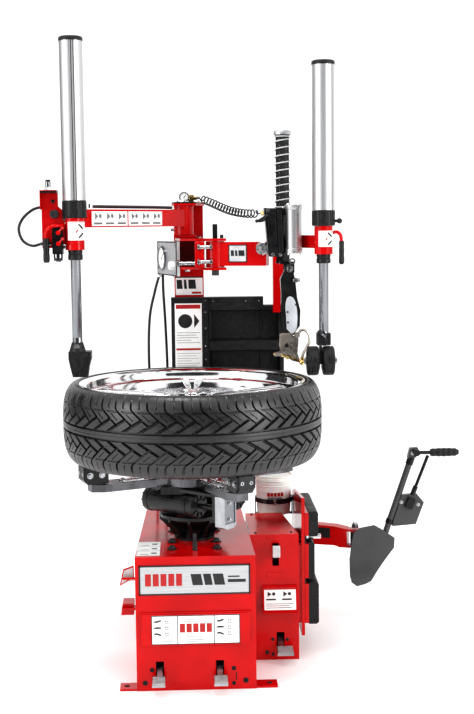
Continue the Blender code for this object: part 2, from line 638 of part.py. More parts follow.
def tool_column():
    bar = square_bar("tool_column", 0.0212, (1.236, 1.634), BLACK)
    cap = turned("cap", [(0.0, 1.648), (0.024, 1.648), (0.0275, 1.643), (0.0275, 1.636),
                         (0.022, 1.632), (0.0, 1.632)], TOOL_AXIS)
    return weld(bar, cap)


def tool_spring():
    """Outer shape of the return spring, a sleeve round the square column."""
    return turned("tool_spring", [(0.0255, 1.6315), (0.0255, 1.4045), (0.0225, 1.4045),
                                  (0.0225, 1.6315)], TOOL_AXIS, STEEL, steps=32, closed=True)


def tool_knuckle():
    """Fork under the column that carries the lever's cross pin."""
    x, y, z = TOOL_JOINT
    neck = rod("tool_knuckle", (*TOOL_AXIS, 1.2357), (*TOOL_AXIS, 1.229), 0.024, STEEL, sides=20)
    bridge = block("bridge", (x - 0.030, x + 0.016), (y - 0.0285, y + 0.030), (1.2275, 1.2350))
    cheeks = [block("cheek", (x - 0.016, x + 0.016), side, (z - 0.014, 1.230))
              for side in ((y - 0.028, y - 0.0205), (y + 0.0205, y + 0.028))]
    pin = rod("pin", (x, y - 0.032, z), (x, y + 0.032, z), 0.006, sides=16)
    return weld(neck, bridge, *cheeks, pin)


def tool_lever():
    """The forged lever that carries the mounting head."""
    x, y, z = TOOL_JOINT
    shape = (arc((x, z), 0.0115, radians(170), radians(10), 6)
             + [(0.333, 1.170), (0.338, 1.120), (0.348, 1.080), (0.346, 1.030), (0.330, 1.008),
                (0.292, 1.008), (0.286, 1.060), (0.288, 1.130), (0.285, 1.180)])
    bar = outline("tool_lever", [shape], 0.034, facing_front(y), BLACK)
    bore = rod("bore", (x, y - 0.04, z), (x, y + 0.04, z), 0.0066)
    return cut(bar, bore)


def mounting_head():
    """The duck-bill head with its flat tongue."""
    y = TOOL_JOINT.y
    shape = [(0.290, 1.0075), (0.334, 1.0075), (0.342, 0.985), (0.338, 0.940), (0.345, 0.922),
             (0.345, 0.912), (0.322, 0.918), (0.300, 0.930), (0.270, 0.934), (0.267, 0.942),
             (0.286, 0.948), (0.280, 0.970), (0.286, 0.990)]
    head = outline("mounting_head", [shape], 0.036, facing_front(y), STEEL)
    hole = rod("hole", (0.303, y - 0.03, 0.968), (0.303, y + 0.03, 0.968), 0.006, sides=16)
    tongue = rod("tongue", (0.268, y - 0.026, 0.938), (0.268, y + 0.026, 0.938), 0.005, sides=12)
    return cut(weld(head, tongue), hole)


def bead_hook():
    """The curved bead-lifting finger beside the head, with a ball tip."""
    y = TOOL_JOINT.y - 0.025
    route = [(0.336, y, 1.001), (0.352, y, 1.018), (0.370, y, 1.010), (0.377, y, 0.985),
             (0.366, y, 0.960), (0.355, y, 0.940), (0.352, y, 0.920)]
    guide = hose("guide", route, 0.0045, STEEL, spacing=0.010)
    hook = meshed("bead_hook", guide, None, STEEL)
    tip = ball("tip", (0.352, y, 0.9135), 0.0085)
    eye = rod("eye", (0.336, y - 0.006, 1.001), (0.336, y + 0.0065, 1.001), 0.009, sides=20)
    return weld(hook, tip, eye)


# ---- right helper -------------------------------------------------------------------
def right_rod():
    """Piston rod with the roller's fork on its end."""
    bar = piston_rod("right_rod", RIGHT_TOWER, 1.010, 1.560)
    x, y = RIGHT_TOWER
    plug = rod("plug", (x, y, 0.9765), (x, y, 1.016), 0.020, sides=20)
    tongue = block("tongue", (ROLLER_X - 0.0030, ROLLER_X + 0.0030), (y - 0.014, y + 0.014),
                   (ROLLER_Z - 0.009, 0.985))
    arm = block("arm", (ROLLER_X - 0.003, x + 0.012), (y - 0.014, y + 0.014), (0.9770, 0.990))
    axle = rod("axle", (ROLLER_X - 0.046, y, ROLLER_Z), (ROLLER_X + 0.046, y, ROLLER_Z), 0.005, sides=12)
    knob = rod("knob", (x, y - 0.018, 1.004), (x - 0.016, y - 0.036, 1.016), 0.006, sides=12)
    return weld(bar, plug, arm, tongue, axle, knob)


def roller(name, side):
    """One of the two press rollers, on the axle beside the tongue."""
    near, far = ROLLER_X + side * 0.0042, ROLLER_X + side * 0.0425
    low, high = sorted((near, far))
    half = (high - low) / 2
    profile = [(0.0056, half), (0.030, half), (0.0330, half - 0.004), (ROLLER_R - 0.004, half),
               (ROLLER_R, half - 0.004), (ROLLER_R, -half + 0.004), (ROLLER_R - 0.004, -half),
               (0.0056, -half)]
    item = turned(name, profile, (0, 0), RUBBER, closed=True)
    item.matrix_world = (Matrix.Translation(((low + high) / 2, RIGHT_TOWER.y, ROLLER_Z))
                         @ Matrix.Rotation(side * pi / 2, 4, "Y"))
    return item


# ---- bead breaker -------------------------------------------------------------------
def pad_plate():
    """The upright plate on the side cabinet, with the breaker's hinge and piston end."""
    shape = [(0.055, 0.060), (0.430, 0.060), (0.430, 0.440), (0.380, 0.462), (0.055, 0.502)]
    plate = outline("pad_plate", [shape], 0.010, flat_on((0.340, 0, 0), (0, 1, 0), (0, 0, 1)), RED)
    spacers = [block("spacer", (0.3170, 0.336), (0.060, 0.090), (0.10, 0.35)),
               block("spacer", (0.2942, 0.336), (0.270, 0.290), (0.10, 0.35))]
    x, y = BREAKER_HINGE
    lugs = [block("lug", (0.344, x + 0.022), (y - 0.022, y + 0.022), z)
            for z in ((0.262, 0.2715), (0.3505, 0.360))]
    pin = rod("pin", (x, y, 0.264), (x, y, 0.358), 0.010, sides=20)
    piston = rod("piston", (0.340, 0.100, 0.368), (0.402, 0.100, 0.368), 0.0070, sides=16)
    return weld(plate, pin, piston, *spacers, *lugs)


def bead_pads():
    """Three rubber pads on one backing strip, against which the tyre leans."""
    near = 0.345 + GAP
    shapes = ([(near, 0.457), (0.382, 0.445), (0.387, 0.392), (near, 0.3765)],
              [(near, 0.3595), (0.374, 0.351), (0.374, 0.253), (near, 0.238)],
              [(near, 0.230), (0.385, 0.203), (0.389, 0.101), (near, 0.093)])
    strip = block("bead_pads", (near, 0.350), (0.057, 0.343), (0.095, 0.460), RUBBER)
    pads = [outline("pad", [shape], 0.290, facing_front(0.200)) for shape in shapes]
    hole = rod("hole", (0.33, 0.100, 0.368), (0.41, 0.100, 0.368), 0.0078)
    return cut(weld(strip, *pads), hole)


def breaker_arm():
    place = turned_to(BREAKER_HINGE, BREAKER_TURN)
    side = [(0.0, 0.2725), (0.0, 0.3400), (0.060, 0.3400), (0.110, 0.3375), (0.150, 0.330),
            (0.153, 0.2690), (0.125, 0.2690), (0.105, 0.2725)]
    bar = outline("breaker_arm", [side], 0.044, place @ flat_on((0, 0, 0), (1, 0, 0), (0, 0, 1)), RED)
    hub = rod("hub", (*BREAKER_HINGE, 0.2725), (*BREAKER_HINGE, 0.3495), 0.022, sides=28)
    bore = rod("bore", (*BREAKER_HINGE, 0.25), (*BREAKER_HINGE, 0.37), 0.0107)
    lugs = [block("lug", (0.120, BLADE_PIN + 0.017), (-0.017, 0.017), z, place=place)
            for z in ((0.3205, 0.3285), (0.2652, 0.2725))]
    room = rod("room", place @ Vector((BLADE_PIN, 0, 0.2731)), place @ Vector((BLADE_PIN, 0, 0.3199)),
               0.0185)
    pin_place = [place @ Vector((BLADE_PIN, 0, z)) for z in (0.266, 0.328)]
    pin = rod("pin", *pin_place, 0.0055, sides=16)
    return weld(cut(weld(bar, hub, *lugs), bore, room), pin)


def blade_assembly():
    """The shovel blade with its boss, handle tube, valve guard and head clamp."""
    pin = turned_to(BREAKER_HINGE, BREAKER_TURN) @ Vector((BLADE_PIN, 0, 0))
    shape = [(0.5545, 0.337), (0.6038, 0.346), (0.633, 0.329), (0.6727, 0.301), (0.6707, 0.268),
             (0.658, 0.251), (0.5906, 0.160), (0.571, 0.152), (0.5414, 0.1455), (0.525, 0.157),
             (0.5204, 0.175), (0.5204, 0.231), (0.528, 0.293), (0.535, 0.321)]
    sheet = curved_sheet("breaker_blade", (0.515, 0.680), BLACK)
    blade = combine(sheet, [outline("blade_outline", [shape], 0.20, facing_front(0.33))], "INTERSECT")
    boss = rod("boss", (pin.x, pin.y, 0.2736), (pin.x, pin.y, 0.3194), 0.0155, sides=24)
    boss_arm = block("boss_arm", (pin.x, pin.x + 0.040), (BLADE_FRONT + 0.001, pin.y + 0.008),
                     (0.276, 0.317))
    tube = rod("tube", (0.640, HANDLE_Y, 0.305), (0.732, HANDLE_Y, 0.577), 0.0105, sides=20)
    foot = block("foot", (0.600, 0.652), (BLADE_FRONT + 0.001, HANDLE_Y + 0.006), (0.268, 0.312))
    guard = outline("guard", [[(0.670, 0.362), (0.666, 0.340), (0.745, 0.346), (0.772, 0.420),
                               (0.748, 0.449), (0.700, 0.446)]], 0.020, facing_front(HANDLE_Y))
    head = outline("head", [[(0.716, 0.570), (0.724, 0.604), (0.750, 0.606), (0.757, 0.590),
                             (0.742, 0.572)]], 0.022, facing_front(HANDLE_Y))
    bore = rod("bore", (pin.x, pin.y, 0.26), (pin.x, pin.y, 0.33), 0.0061, sides=20)
    return cut(weld(blade, boss, boss_arm, foot, tube, guard, head), bore)


def curved_sheet(name, x, look):
    """A sheet 6 mm thick, straight above and curling forwards below, between two x."""
    heights = [0.36 - 0.012 * i for i in range(21)]
    front = [(BLADE_FRONT - 3.5 * max(0.0, 0.235 - z) ** 2, z) for z in heights]
    back = [(y + 0.006, z) for y, z in reversed(front)]
    middle = (x[0] + x[1]) / 2
    return outline(name, [front + back], x[1] - x[0],
                   flat_on((middle, 0, 0), (0, 1, 0), (0, 0, 1)), look)


GRIP_PIVOT = Vector((0.744, 0.310, 0.592))


def control_grip():
    """The hand lever on the head clamp, turning on an axis along Y."""
    x, y, z = GRIP_PIVOT
    hub = rod("control_grip", (x, y - 0.007, z), (x, y + 0.0125, z), 0.0115, BLACK, sides=20)
    bar = rod("bar", (x, y, z), (x + 0.060, y, z), 0.0060, sides=16)
    grip = turned("grip", [(0.0, 0.0), (0.008, 0.002), (0.0115, 0.020), (0.0100, 0.034),
                           (0.0125, 0.050), (0.0110, 0.066), (0.0120, 0.080), (0.0075, 0.090),
                           (0.0, 0.092)][::-1], (0, 0), steps=16)
    grip.matrix_world = (Matrix.Translation((x + 0.050, y, z)) @ Matrix.Rotation(pi / 2, 4, "Y"))
    return weld(hub, bar, grip)


def control_rod():
    """The thin push rod between the hand lever and the valve guard."""
    top = Vector((0.7815, GRIP_PIVOT.y, 0.5820))
    bottom = Vector((0.7300, GRIP_PIVOT.y, 0.4490))
    bar = rod("control_rod", bottom, top, 0.0055, BLACK, sides=12)
    clevis = rod("clevis", bottom, bottom + (top - bottom) * 0.22, 0.0085, sides=12)
    return weld(bar, clevis)


# ---- paste bucket -------------------------------------------------------------------
def bucket():
    """The paste pail with its lid on."""
    profile = [(0.0, 0.5170), (0.0630, 0.5170), (0.0655, 0.5140), (0.0655, 0.5000), (0.0620, 0.4990),
               (0.0620, 0.4900), (0.0600, 0.4890), (0.0545, 0.3850), (0.0, 0.3850)]
    return turned("bucket", profile, BUCKET, WHITE)


def bucket_ring():
    """The holder: a ring with a strap under the pail, on the upright plate."""
    x, y = BUCKET
    ring = turned("bucket_ring", [(0.0635, 0.4400), (0.0635, 0.4250), (0.0602, 0.4250),
                                  (0.0602, 0.4400)], BUCKET, BLACK, closed=True)
    tab = block("tab", (x + 0.0615, 0.335 - GAP), (y - 0.015, y + 0.015), (0.4255, 0.4395))
    sides = [block("side", (x + s * 0.0618 - 0.0014, x + s * 0.0618 + 0.0014), (y - 0.01, y + 0.01),
                   (0.379, 0.432)) for s in (-1, 1)]
    strap = block("strap", (x - 0.0632, x + 0.0632), (y - 0.01, y + 0.01), (0.3795, 0.3845))
    return weld(ring, tab, strap, *sides)


# ---- hoses --------------------------------------------------------------------------
COIL_ROUTE = [(0.032, 0.462, 1.4450), (0.080, 0.410, 1.4230), (0.130, 0.350, 1.4000),
              (0.180, 0.290, 1.3890), (0.2265, 0.247, 1.3890)]
ARM_HOSE_ROUTE = [(-0.300, 0.040, 1.4140), (-0.285, 0.082, 1.4130), (-0.200, 0.200, 1.4125),
                  (-0.110, 0.322, 1.4120), (-0.058, 0.388, 1.4110)]
VALVE_HOSE_ROUTE = [(-0.4425, 0.010, 1.412), (-0.470, 0.010, 1.404), (-0.500, 0.008, 1.378),
                    (-0.512, 0.004, 1.346), (-0.500, 0.000, 1.312), (-0.472, -0.004, 1.297),
                    (-0.4470, -0.006, 1.302)]
GAUGE_HOSE_ROUTES = (
    [(-0.106, 0.500, 1.1855), (-0.122, 0.500, 1.130), (-0.141, 0.500, 1.040), (-0.146, 0.500, 0.900),
     (-0.140, 0.500, 0.700), (-0.128, 0.500, 0.520), (-0.124, 0.500, 0.4004)],
    [(-0.094, 0.508, 1.1855), (-0.0935, 0.505, 1.130), (-0.088, 0.498, 1.020), (-0.0835, 0.488, 0.880),
     (-0.081, 0.462, 0.700), (-0.092, 0.425, 0.520), (-0.096, 0.420, 0.4004)],
)


# ---- assembly -----------------------------------------------------------------------
main_cabinet()
side_cabinet()
pedal("pedal_left", -0.107, CAB_FRONT, (-0.129, -0.091))
pedal("pedal_right", 0.0685, CAB_FRONT, (0.050, 0.090))
pedal("pedal_side", 0.264, BOX_FRONT, (0.250, 0.300))
valve_lever()

gearbox()
motor()
pulley("motor_pulley", MOTOR_Y, MOTOR_PULLEY_R, 0.3005)
pulley("gearbox_pulley", 0.0, GEAR_PULLEY_R, 0.3995)
drive_belt()

table()
clamp_cylinders()
for jaw_number in range(1, 5):
    jaw(jaw_number)
rim()
tyre()

column()
tool_board()
arm_bracket()
gauge_housing()
helper_post()

swing_arm("left_arm", LEFT_HINGE, LEFT_TOWER, 0.045, (1.350, 1.404), (1.3205, 1.4175), 0.033, 0.012,
          (1.283, 1.3780), 0.0365)
air_cylinder("left_cylinder", LEFT_TOWER, 1.910, 1.4300)
collar("left_collar", LEFT_TOWER, 1.4297, 1.3783, 1.2827, 1.2530, 0.0365)
piston_rod("left_rod", LEFT_TOWER, 1.0060, 1.6200)
left_press()
valve_unit()
valve_toggle(1, 1.335)
valve_toggle(2, 1.303)

tool_arm()
tool_housing()
tool_air_cylinder()
tool_column()
tool_spring()
tool_knuckle()
tool_lever()
mounting_head()
bead_hook()

swing_arm("helper_arm", HELPER_HINGE, RIGHT_TOWER, 0.030, (1.278, 1.318), (1.2745, 1.3200), 0.024,
          0.009, (1.260, 1.3470), 0.0360)
air_cylinder("right_cylinder", RIGHT_TOWER, 1.850, 1.3950)
collar("right_collar", RIGHT_TOWER, 1.3947, 1.3473, 1.2597, 1.2320, 0.0360)
right_rod()
roller("roller_left", -1)
roller("roller_right", 1)

pad_plate()
bead_pads()
breaker_arm()
blade_assembly()
control_grip()
control_rod()

bucket()
bucket_ring()

hose("coil_hose", COIL_ROUTE, 0.0125, BLACK, resolution=3, spacing=0.030)
hose("arm_hose", ARM_HOSE_ROUTE, 0.0050, BLACK, spacing=0.020)
hose("valve_hose", VALVE_HOSE_ROUTE, 0.0042, BLACK, spacing=0.014)
for hose_number, hose_route in enumerate(GAUGE_HOSE_ROUTES, 1):
    hose(f"gauge_hose_{hose_number}", hose_route, 0.0045, BLACK, spacing=0.027)
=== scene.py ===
"""Looks of the tyre changer: materials, tread, chrome, springs, hoses, fasteners and labels,
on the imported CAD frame. Metres, in the CAD's own frame."""

from math import cos, hypot, pi, radians, sin

import bmesh
import bpy
import numpy as np
from mathutils import Matrix, Vector


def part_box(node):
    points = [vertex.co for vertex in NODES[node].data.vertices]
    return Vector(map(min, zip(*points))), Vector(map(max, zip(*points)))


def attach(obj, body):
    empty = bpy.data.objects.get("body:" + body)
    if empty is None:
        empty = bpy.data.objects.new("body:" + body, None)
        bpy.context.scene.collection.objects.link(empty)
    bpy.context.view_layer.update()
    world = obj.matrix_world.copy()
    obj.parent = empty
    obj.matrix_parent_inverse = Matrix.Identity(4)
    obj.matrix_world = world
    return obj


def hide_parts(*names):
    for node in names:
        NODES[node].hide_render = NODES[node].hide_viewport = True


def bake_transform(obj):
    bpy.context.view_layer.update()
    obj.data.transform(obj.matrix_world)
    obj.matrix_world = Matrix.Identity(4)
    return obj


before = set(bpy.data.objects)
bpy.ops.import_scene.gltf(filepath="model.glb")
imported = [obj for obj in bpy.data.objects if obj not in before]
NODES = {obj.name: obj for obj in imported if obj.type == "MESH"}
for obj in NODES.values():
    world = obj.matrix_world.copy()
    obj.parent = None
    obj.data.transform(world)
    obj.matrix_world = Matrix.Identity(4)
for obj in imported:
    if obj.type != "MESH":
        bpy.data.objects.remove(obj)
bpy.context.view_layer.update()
X, Y, Z = (1, 0, 0), (0, 1, 0), (0, 0, 1)
INK, THICK_INK = 0.0003, 0.0004          # thickness of printed lines, and of pictograms

# ---- places repeated from the CAD ---------------------------------------------------
LEFT_TOWER = Vector((-0.345, 0.0, 0.0))
RIGHT_TOWER = Vector((0.412, 0.1, 0.0))
LEFT_HINGE = Vector((-0.02, 0.44, 0.0))
TOOL_HINGE = Vector((0.08, 0.27, 0.0))
TOOL_AXIS = Vector((0.2955, 0.226, 0.0))
TOOL_AIR = Vector((0.3255, 0.1715, 0.0))
HELPER_HINGE = Vector((0.295, 0.42, 0.0))
BREAKER_HINGE = Vector((0.375, 0.4, 0.0))
BREAKER_TURN = radians(-17)
ROD_R = 0.015
BUCKET = Vector((0.27, 0.378, 0.0))
ROLLER = Vector((0.4015, 0.1, 0.928))
TABLE_TURN = radians(-66)
CLAMP_TURN = radians(-41)
WHEEL_MID = 0.769
CAB_FRONT = -0.233
CAB_TOP = 0.4
BOX_FRONT = 0.008
COIL_ROUTE = [(0.032, 0.462, 1.445), (0.08, 0.41, 1.423), (0.13, 0.35, 1.4),
              (0.18, 0.29, 1.389), (0.2265, 0.247, 1.389)]
ARM_HOSE_ROUTE = [(-0.3, 0.04, 1.414), (-0.285, 0.082, 1.413), (-0.2, 0.2, 1.4125),
                  (-0.11, 0.322, 1.412), (-0.058, 0.388, 1.411)]
VALVE_HOSE_ROUTE = [(-0.4425, 0.01, 1.412), (-0.47, 0.01, 1.404), (-0.5, 0.008, 1.378),
                    (-0.512, 0.004, 1.346), (-0.5, 0.0, 1.312), (-0.472, -0.004, 1.297),
                    (-0.447, -0.006, 1.302)]
GAUGE_HOSE_ROUTES = (
    [(-0.106, 0.5, 1.1855), (-0.122, 0.5, 1.13), (-0.141, 0.5, 1.04), (-0.146, 0.5, 0.9),
     (-0.14, 0.5, 0.7), (-0.128, 0.5, 0.52), (-0.124, 0.5, 0.4004)],
    [(-0.094, 0.508, 1.1855), (-0.0935, 0.505, 1.13), (-0.088, 0.498, 1.02), (-0.0835, 0.488, 0.88),
     (-0.081, 0.462, 0.7), (-0.092, 0.425, 0.52), (-0.096, 0.42, 0.4004)],
)

# ---- camera, placed, turned and with the lens fitted to the photograph --------------
CAMERA_PLACE = Vector((-0.0115, -3.8, 1.3565))
CAMERA_YAW, CAMERA_PITCH, CAMERA_ROLL = -0.0389, 0.1055, 0.0103
CAMERA_LENS = 63.48


def camera():
    data = bpy.data.cameras.new("camera")
    data.lens = CAMERA_LENS
    data.sensor_width = 36.0
    data.clip_end = 60.0
    made = bpy.data.objects.new("camera", data)
    bpy.context.scene.collection.objects.link(made)
    look = turned(CAMERA_YAW) @ Matrix.Rotation(pi / 2 - CAMERA_PITCH, 4, "X") @ turned(-CAMERA_ROLL)
    made.matrix_world = Matrix.Translation(CAMERA_PLACE) @ look
    bpy.context.scene.camera = made


# ---- materials ----------------------------------------------------------------------
def surface(name, light, dark, roughness, metallic=0.0, grain=40, detail=4.0,
            bump=0.0, bump_scale=900.0, coat=0.0, specular=0.5, spread=(0.35, 0.65), **more):
    """A Principled material whose colour, roughness and bump vary with noise in object space."""
    made = bpy.data.materials.new(name)
    made.use_nodes = True
    nodes, links = made.node_tree.nodes, made.node_tree.links
    shader = nodes["Principled BSDF"]
    shader.inputs["Metallic"].default_value = metallic
    shader.inputs["Coat Weight"].default_value = coat
    shader.inputs["Coat Roughness"].default_value = 0.06
    shader.inputs["Specular IOR Level"].default_value = specular
    for socket, value in more.items():
        shader.inputs[socket.replace("_", " ")].default_value = value
    place = nodes.new("ShaderNodeTexCoord")
    scaled = nodes.new("ShaderNodeMapping")
    scaled.inputs["Scale"].default_value = grain if isinstance(grain, tuple) else (grain,) * 3
    links.new(place.outputs["Object"], scaled.inputs["Vector"])
    noise = nodes.new("ShaderNodeTexNoise")
    noise.inputs["Scale"].default_value = 1.0
    noise.inputs["Detail"].default_value = detail
    links.new(scaled.outputs["Vector"], noise.inputs["Vector"])
    ramp = nodes.new("ShaderNodeValToRGB")
    ramp.color_ramp.elements[0].position, ramp.color_ramp.elements[1].position = spread
    ramp.color_ramp.elements[0].color = (*dark, 1.0)
    ramp.color_ramp.elements[1].color = (*light, 1.0)
    links.new(noise.outputs["Fac"], ramp.inputs["Fac"])
    links.new(ramp.outputs["Color"], shader.inputs["Base Color"])
    gloss = nodes.new("ShaderNodeMapRange")
    gloss.inputs["From Min"].default_value, gloss.inputs["From Max"].default_value = spread
    gloss.inputs["To Min"].default_value, gloss.inputs["To Max"].default_value = roughness
    links.new(noise.outputs["Fac"], gloss.inputs["Value"])
    links.new(gloss.outputs["Result"], shader.inputs["Roughness"])
    if bump:
        fine = nodes.new("ShaderNodeTexNoise")
        fine.inputs["Scale"].default_value = bump_scale
        fine.inputs["Detail"].default_value = 3.0
        links.new(place.outputs["Object"], fine.inputs["Vector"])
        relief = nodes.new("ShaderNodeBump")
        relief.inputs["Strength"].default_value = bump
        relief.inputs["Distance"].default_value = 0.0006
        links.new(fine.outputs["Fac"], relief.inputs["Height"])
        links.new(relief.outputs["Normal"], shader.inputs["Normal"])
    return made


def materials():
    """Every finish on the machine, by a plain name."""
    return {
        "red": surface("red_paint", (0.5, 0.002, 0.003), (0.4, 0.001, 0.002), (0.16, 0.26), coat=0.12,
                       specular=0.16, grain=9, bump=0.05, bump_scale=260.0),
        "black": surface("black_paint", (0.01, 0.01, 0.011), (0.005, 0.005, 0.006), (0.24, 0.36),
                         grain=30, specular=0.3, bump=0.1, bump_scale=700.0),
        "plastic": surface("black_plastic", (0.02, 0.02, 0.021), (0.012, 0.012, 0.013), (0.3, 0.44),
                           specular=0.22, grain=80, bump=0.25, bump_scale=1500.0),
        "rubber": surface("black_rubber", (0.016, 0.016, 0.017), (0.008, 0.008, 0.009), (0.4, 0.58),
                          specular=0.28, grain=50, bump=0.3, bump_scale=1100.0),
        "tyre": surface("tyre_rubber", (0.02, 0.02, 0.0205), (0.011, 0.011, 0.0115), (0.26, 0.4),
                        specular=0.6, grain=(22, 22, 60), detail=8.0, bump=0.35, bump_scale=750.0),
        "cast": surface("dark_casting", (0.014, 0.0145, 0.015), (0.006, 0.006, 0.0065), (0.24, 0.42),
                        specular=0.25, grain=25, bump=0.55, bump_scale=420.0, coat=0.2),
        "chrome": surface("chrome", (0.86, 0.87, 0.88), (0.78, 0.79, 0.81), (0.04, 0.09), metallic=1.0,
                          grain=(14, 14, 200)),
        "polished": surface("polished_rim", (0.88, 0.88, 0.89), (0.78, 0.79, 0.8), (0.05, 0.14),
                            metallic=1.0, grain=18, detail=6.0),
        "aluminium": surface("drawn_aluminium", (0.6, 0.605, 0.615), (0.51, 0.515, 0.525), (0.38, 0.46),
                             metallic=0.9, grain=(420, 420, 3.0), spread=(0.3, 0.7)),
        "rod": surface("ground_rod", (0.25, 0.255, 0.27), (0.2, 0.205, 0.22), (0.12, 0.18), metallic=1.0,
                       grain=8),
        "steel": surface("machined_steel", (0.46, 0.47, 0.49), (0.32, 0.33, 0.35), (0.26, 0.36),
                         metallic=1.0, grain=(14, 50, 14), detail=3.0),
        "table": surface("dark_steel", (0.13, 0.13, 0.14), (0.07, 0.07, 0.075), (0.16, 0.3), metallic=1.0,
                         grain=(14, 50, 14), detail=3.0),
        "zinc": surface("zinc_bolts", (0.5, 0.51, 0.52), (0.38, 0.38, 0.39), (0.2, 0.34), metallic=1.0,
                        grain=120),
        "head": surface("cast_steel_head", (0.6, 0.55, 0.49), (0.38, 0.34, 0.3), (0.26, 0.44),
                        metallic=1.0, grain=55, detail=7.0, bump=0.3, bump_scale=500.0),
        "brass": surface("brass", (0.78, 0.58, 0.26), (0.62, 0.44, 0.17), (0.18, 0.32), metallic=1.0,
                         grain=90),
        "white": surface("white_label", (0.86, 0.86, 0.85), (0.8, 0.8, 0.79), (0.34, 0.46),
                         grain=30),
        "pail": surface("pail_plastic", (0.84, 0.83, 0.8), (0.76, 0.75, 0.72), (0.28, 0.42),
                        grain=(16, 16, 40), Subsurface_Weight=0.25, Subsurface_Scale=0.02),
        "grey": surface("grey_paint", (0.56, 0.57, 0.58), (0.46, 0.47, 0.48), (0.26, 0.4),
                        grain=40, bump=0.08),
        "plate": surface("brushed_plate", (0.5, 0.51, 0.52), (0.42, 0.43, 0.44), (0.3, 0.4), metallic=0.3,
                         grain=(8, 8, 300)),
        "satin": surface("satin_black", (0.05, 0.05, 0.052), (0.036, 0.036, 0.038), (0.36, 0.46),
                         grain=12, bump=0.1, bump_scale=700.0),
        "print": surface("dark_print", (0.016, 0.016, 0.017), (0.01, 0.01, 0.011), (0.36, 0.48),
                         grain=60),
        "red_print": surface("red_print", (0.42, 0.004, 0.006), (0.34, 0.003, 0.005), (0.34, 0.46),
                             grain=60),
        "grey_print": surface("grey_print", (0.16, 0.16, 0.17), (0.12, 0.12, 0.13), (0.34, 0.46),
                              grain=60),
        # Near-black: the colour of the plugs on the cabinet front, and painted shade where it stands for
        # the shade inside slots, bores and openings.
        "hole": surface("black_plug_and_opening_shade", (0.006, 0.004, 0.004), (0.003, 0.002, 0.002), (0.7, 0.85),
                        grain=40),
        "hose": surface("air_hose", (0.014, 0.014, 0.015), (0.008, 0.008, 0.009), (0.26, 0.38),
                        specular=0.4, grain=60, bump=0.08, bump_scale=500.0),
        "card": surface("dark_card", (0.02, 0.02, 0.021), (0.016, 0.016, 0.017), (0.8, 0.9),
                        grain=1.2),
        "cover": surface("lever_cover", (0.56, 0.58, 0.61), (0.46, 0.48, 0.51), (0.3, 0.42),
                         grain=30),
        "panel": surface("brushed_panel", (0.52, 0.53, 0.54), (0.4, 0.41, 0.42), (0.3, 0.44), metallic=0.6,
                         grain=(60, 60, 300)),
        "floor": surface("pale_floor", (0.96, 0.96, 0.96), (0.95, 0.95, 0.95), (0.6, 0.7),
                         grain=1.2),
    }


M = materials()


# ---- mesh helpers -------------------------------------------------------------------
def finished(item, bevel=0.0, smooth=35.0, segments=2):
    """Rounded edges, and smooth shading that keeps real edges sharp."""
    item.data.polygons.foreach_set("use_smooth", [True] * len(item.data.polygons))
    item.data.set_sharp_from_angle(angle=radians(smooth))
    if bevel:
        edge = item.modifiers.new("edges", "BEVEL")
        edge.width = bevel
        edge.segments = segments
        edge.limit_method = "ANGLE"
        edge.angle_limit = radians(38)
        edge.harden_normals = True
    return item


def along(start, end):
    """Placement at the middle of a line, with Z along it."""
    start, end = Vector(start), Vector(end)
    turn = (end - start).to_track_quat("Z", "Y").to_matrix().to_4x4()
    return Matrix.Translation((start + end) / 2) @ turn


def axes(point, across, up):
    """Placement whose X is across, Y is up and Z is their normal, at a point."""
    across, up = Vector(across).normalized(), Vector(up).normalized()
    turn = Matrix((across, up, across.cross(up))).transposed().to_4x4()
    return Matrix.Translation(point) @ turn


def at(x, y, z=0.0):
    return Matrix.Translation((x, y, z))


def turned(angle):
    """A turn about Z."""
    return Matrix.Rotation(angle, 4, "Z")


def around(x, y, radius, count, first=0.0):
    """(x, y) of points evenly spaced on a circle; the first is at an angle in radians."""
    angles = [first + 2 * pi * i / count for i in range(count)]
    return [(x + radius * cos(a), y + radius * sin(a)) for a in angles]


def frames(points):
    """Each point of a line with two directions square to it, carried along without twist."""
    normal = (points[1] - points[0]).orthogonal().normalized()
    for i, point in enumerate(points):
        tangent = (points[min(i + 1, len(points) - 1)] - points[max(i - 1, 0)]).normalized()
        normal = (normal - tangent * normal.dot(tangent)).normalized()
        yield point, normal, tangent.cross(normal)


def front(y):
    """Placement for shapes drawn in X and Z, whose thickness grows towards the operator."""
    return axes((0.0, y, 0.0), X, Z)


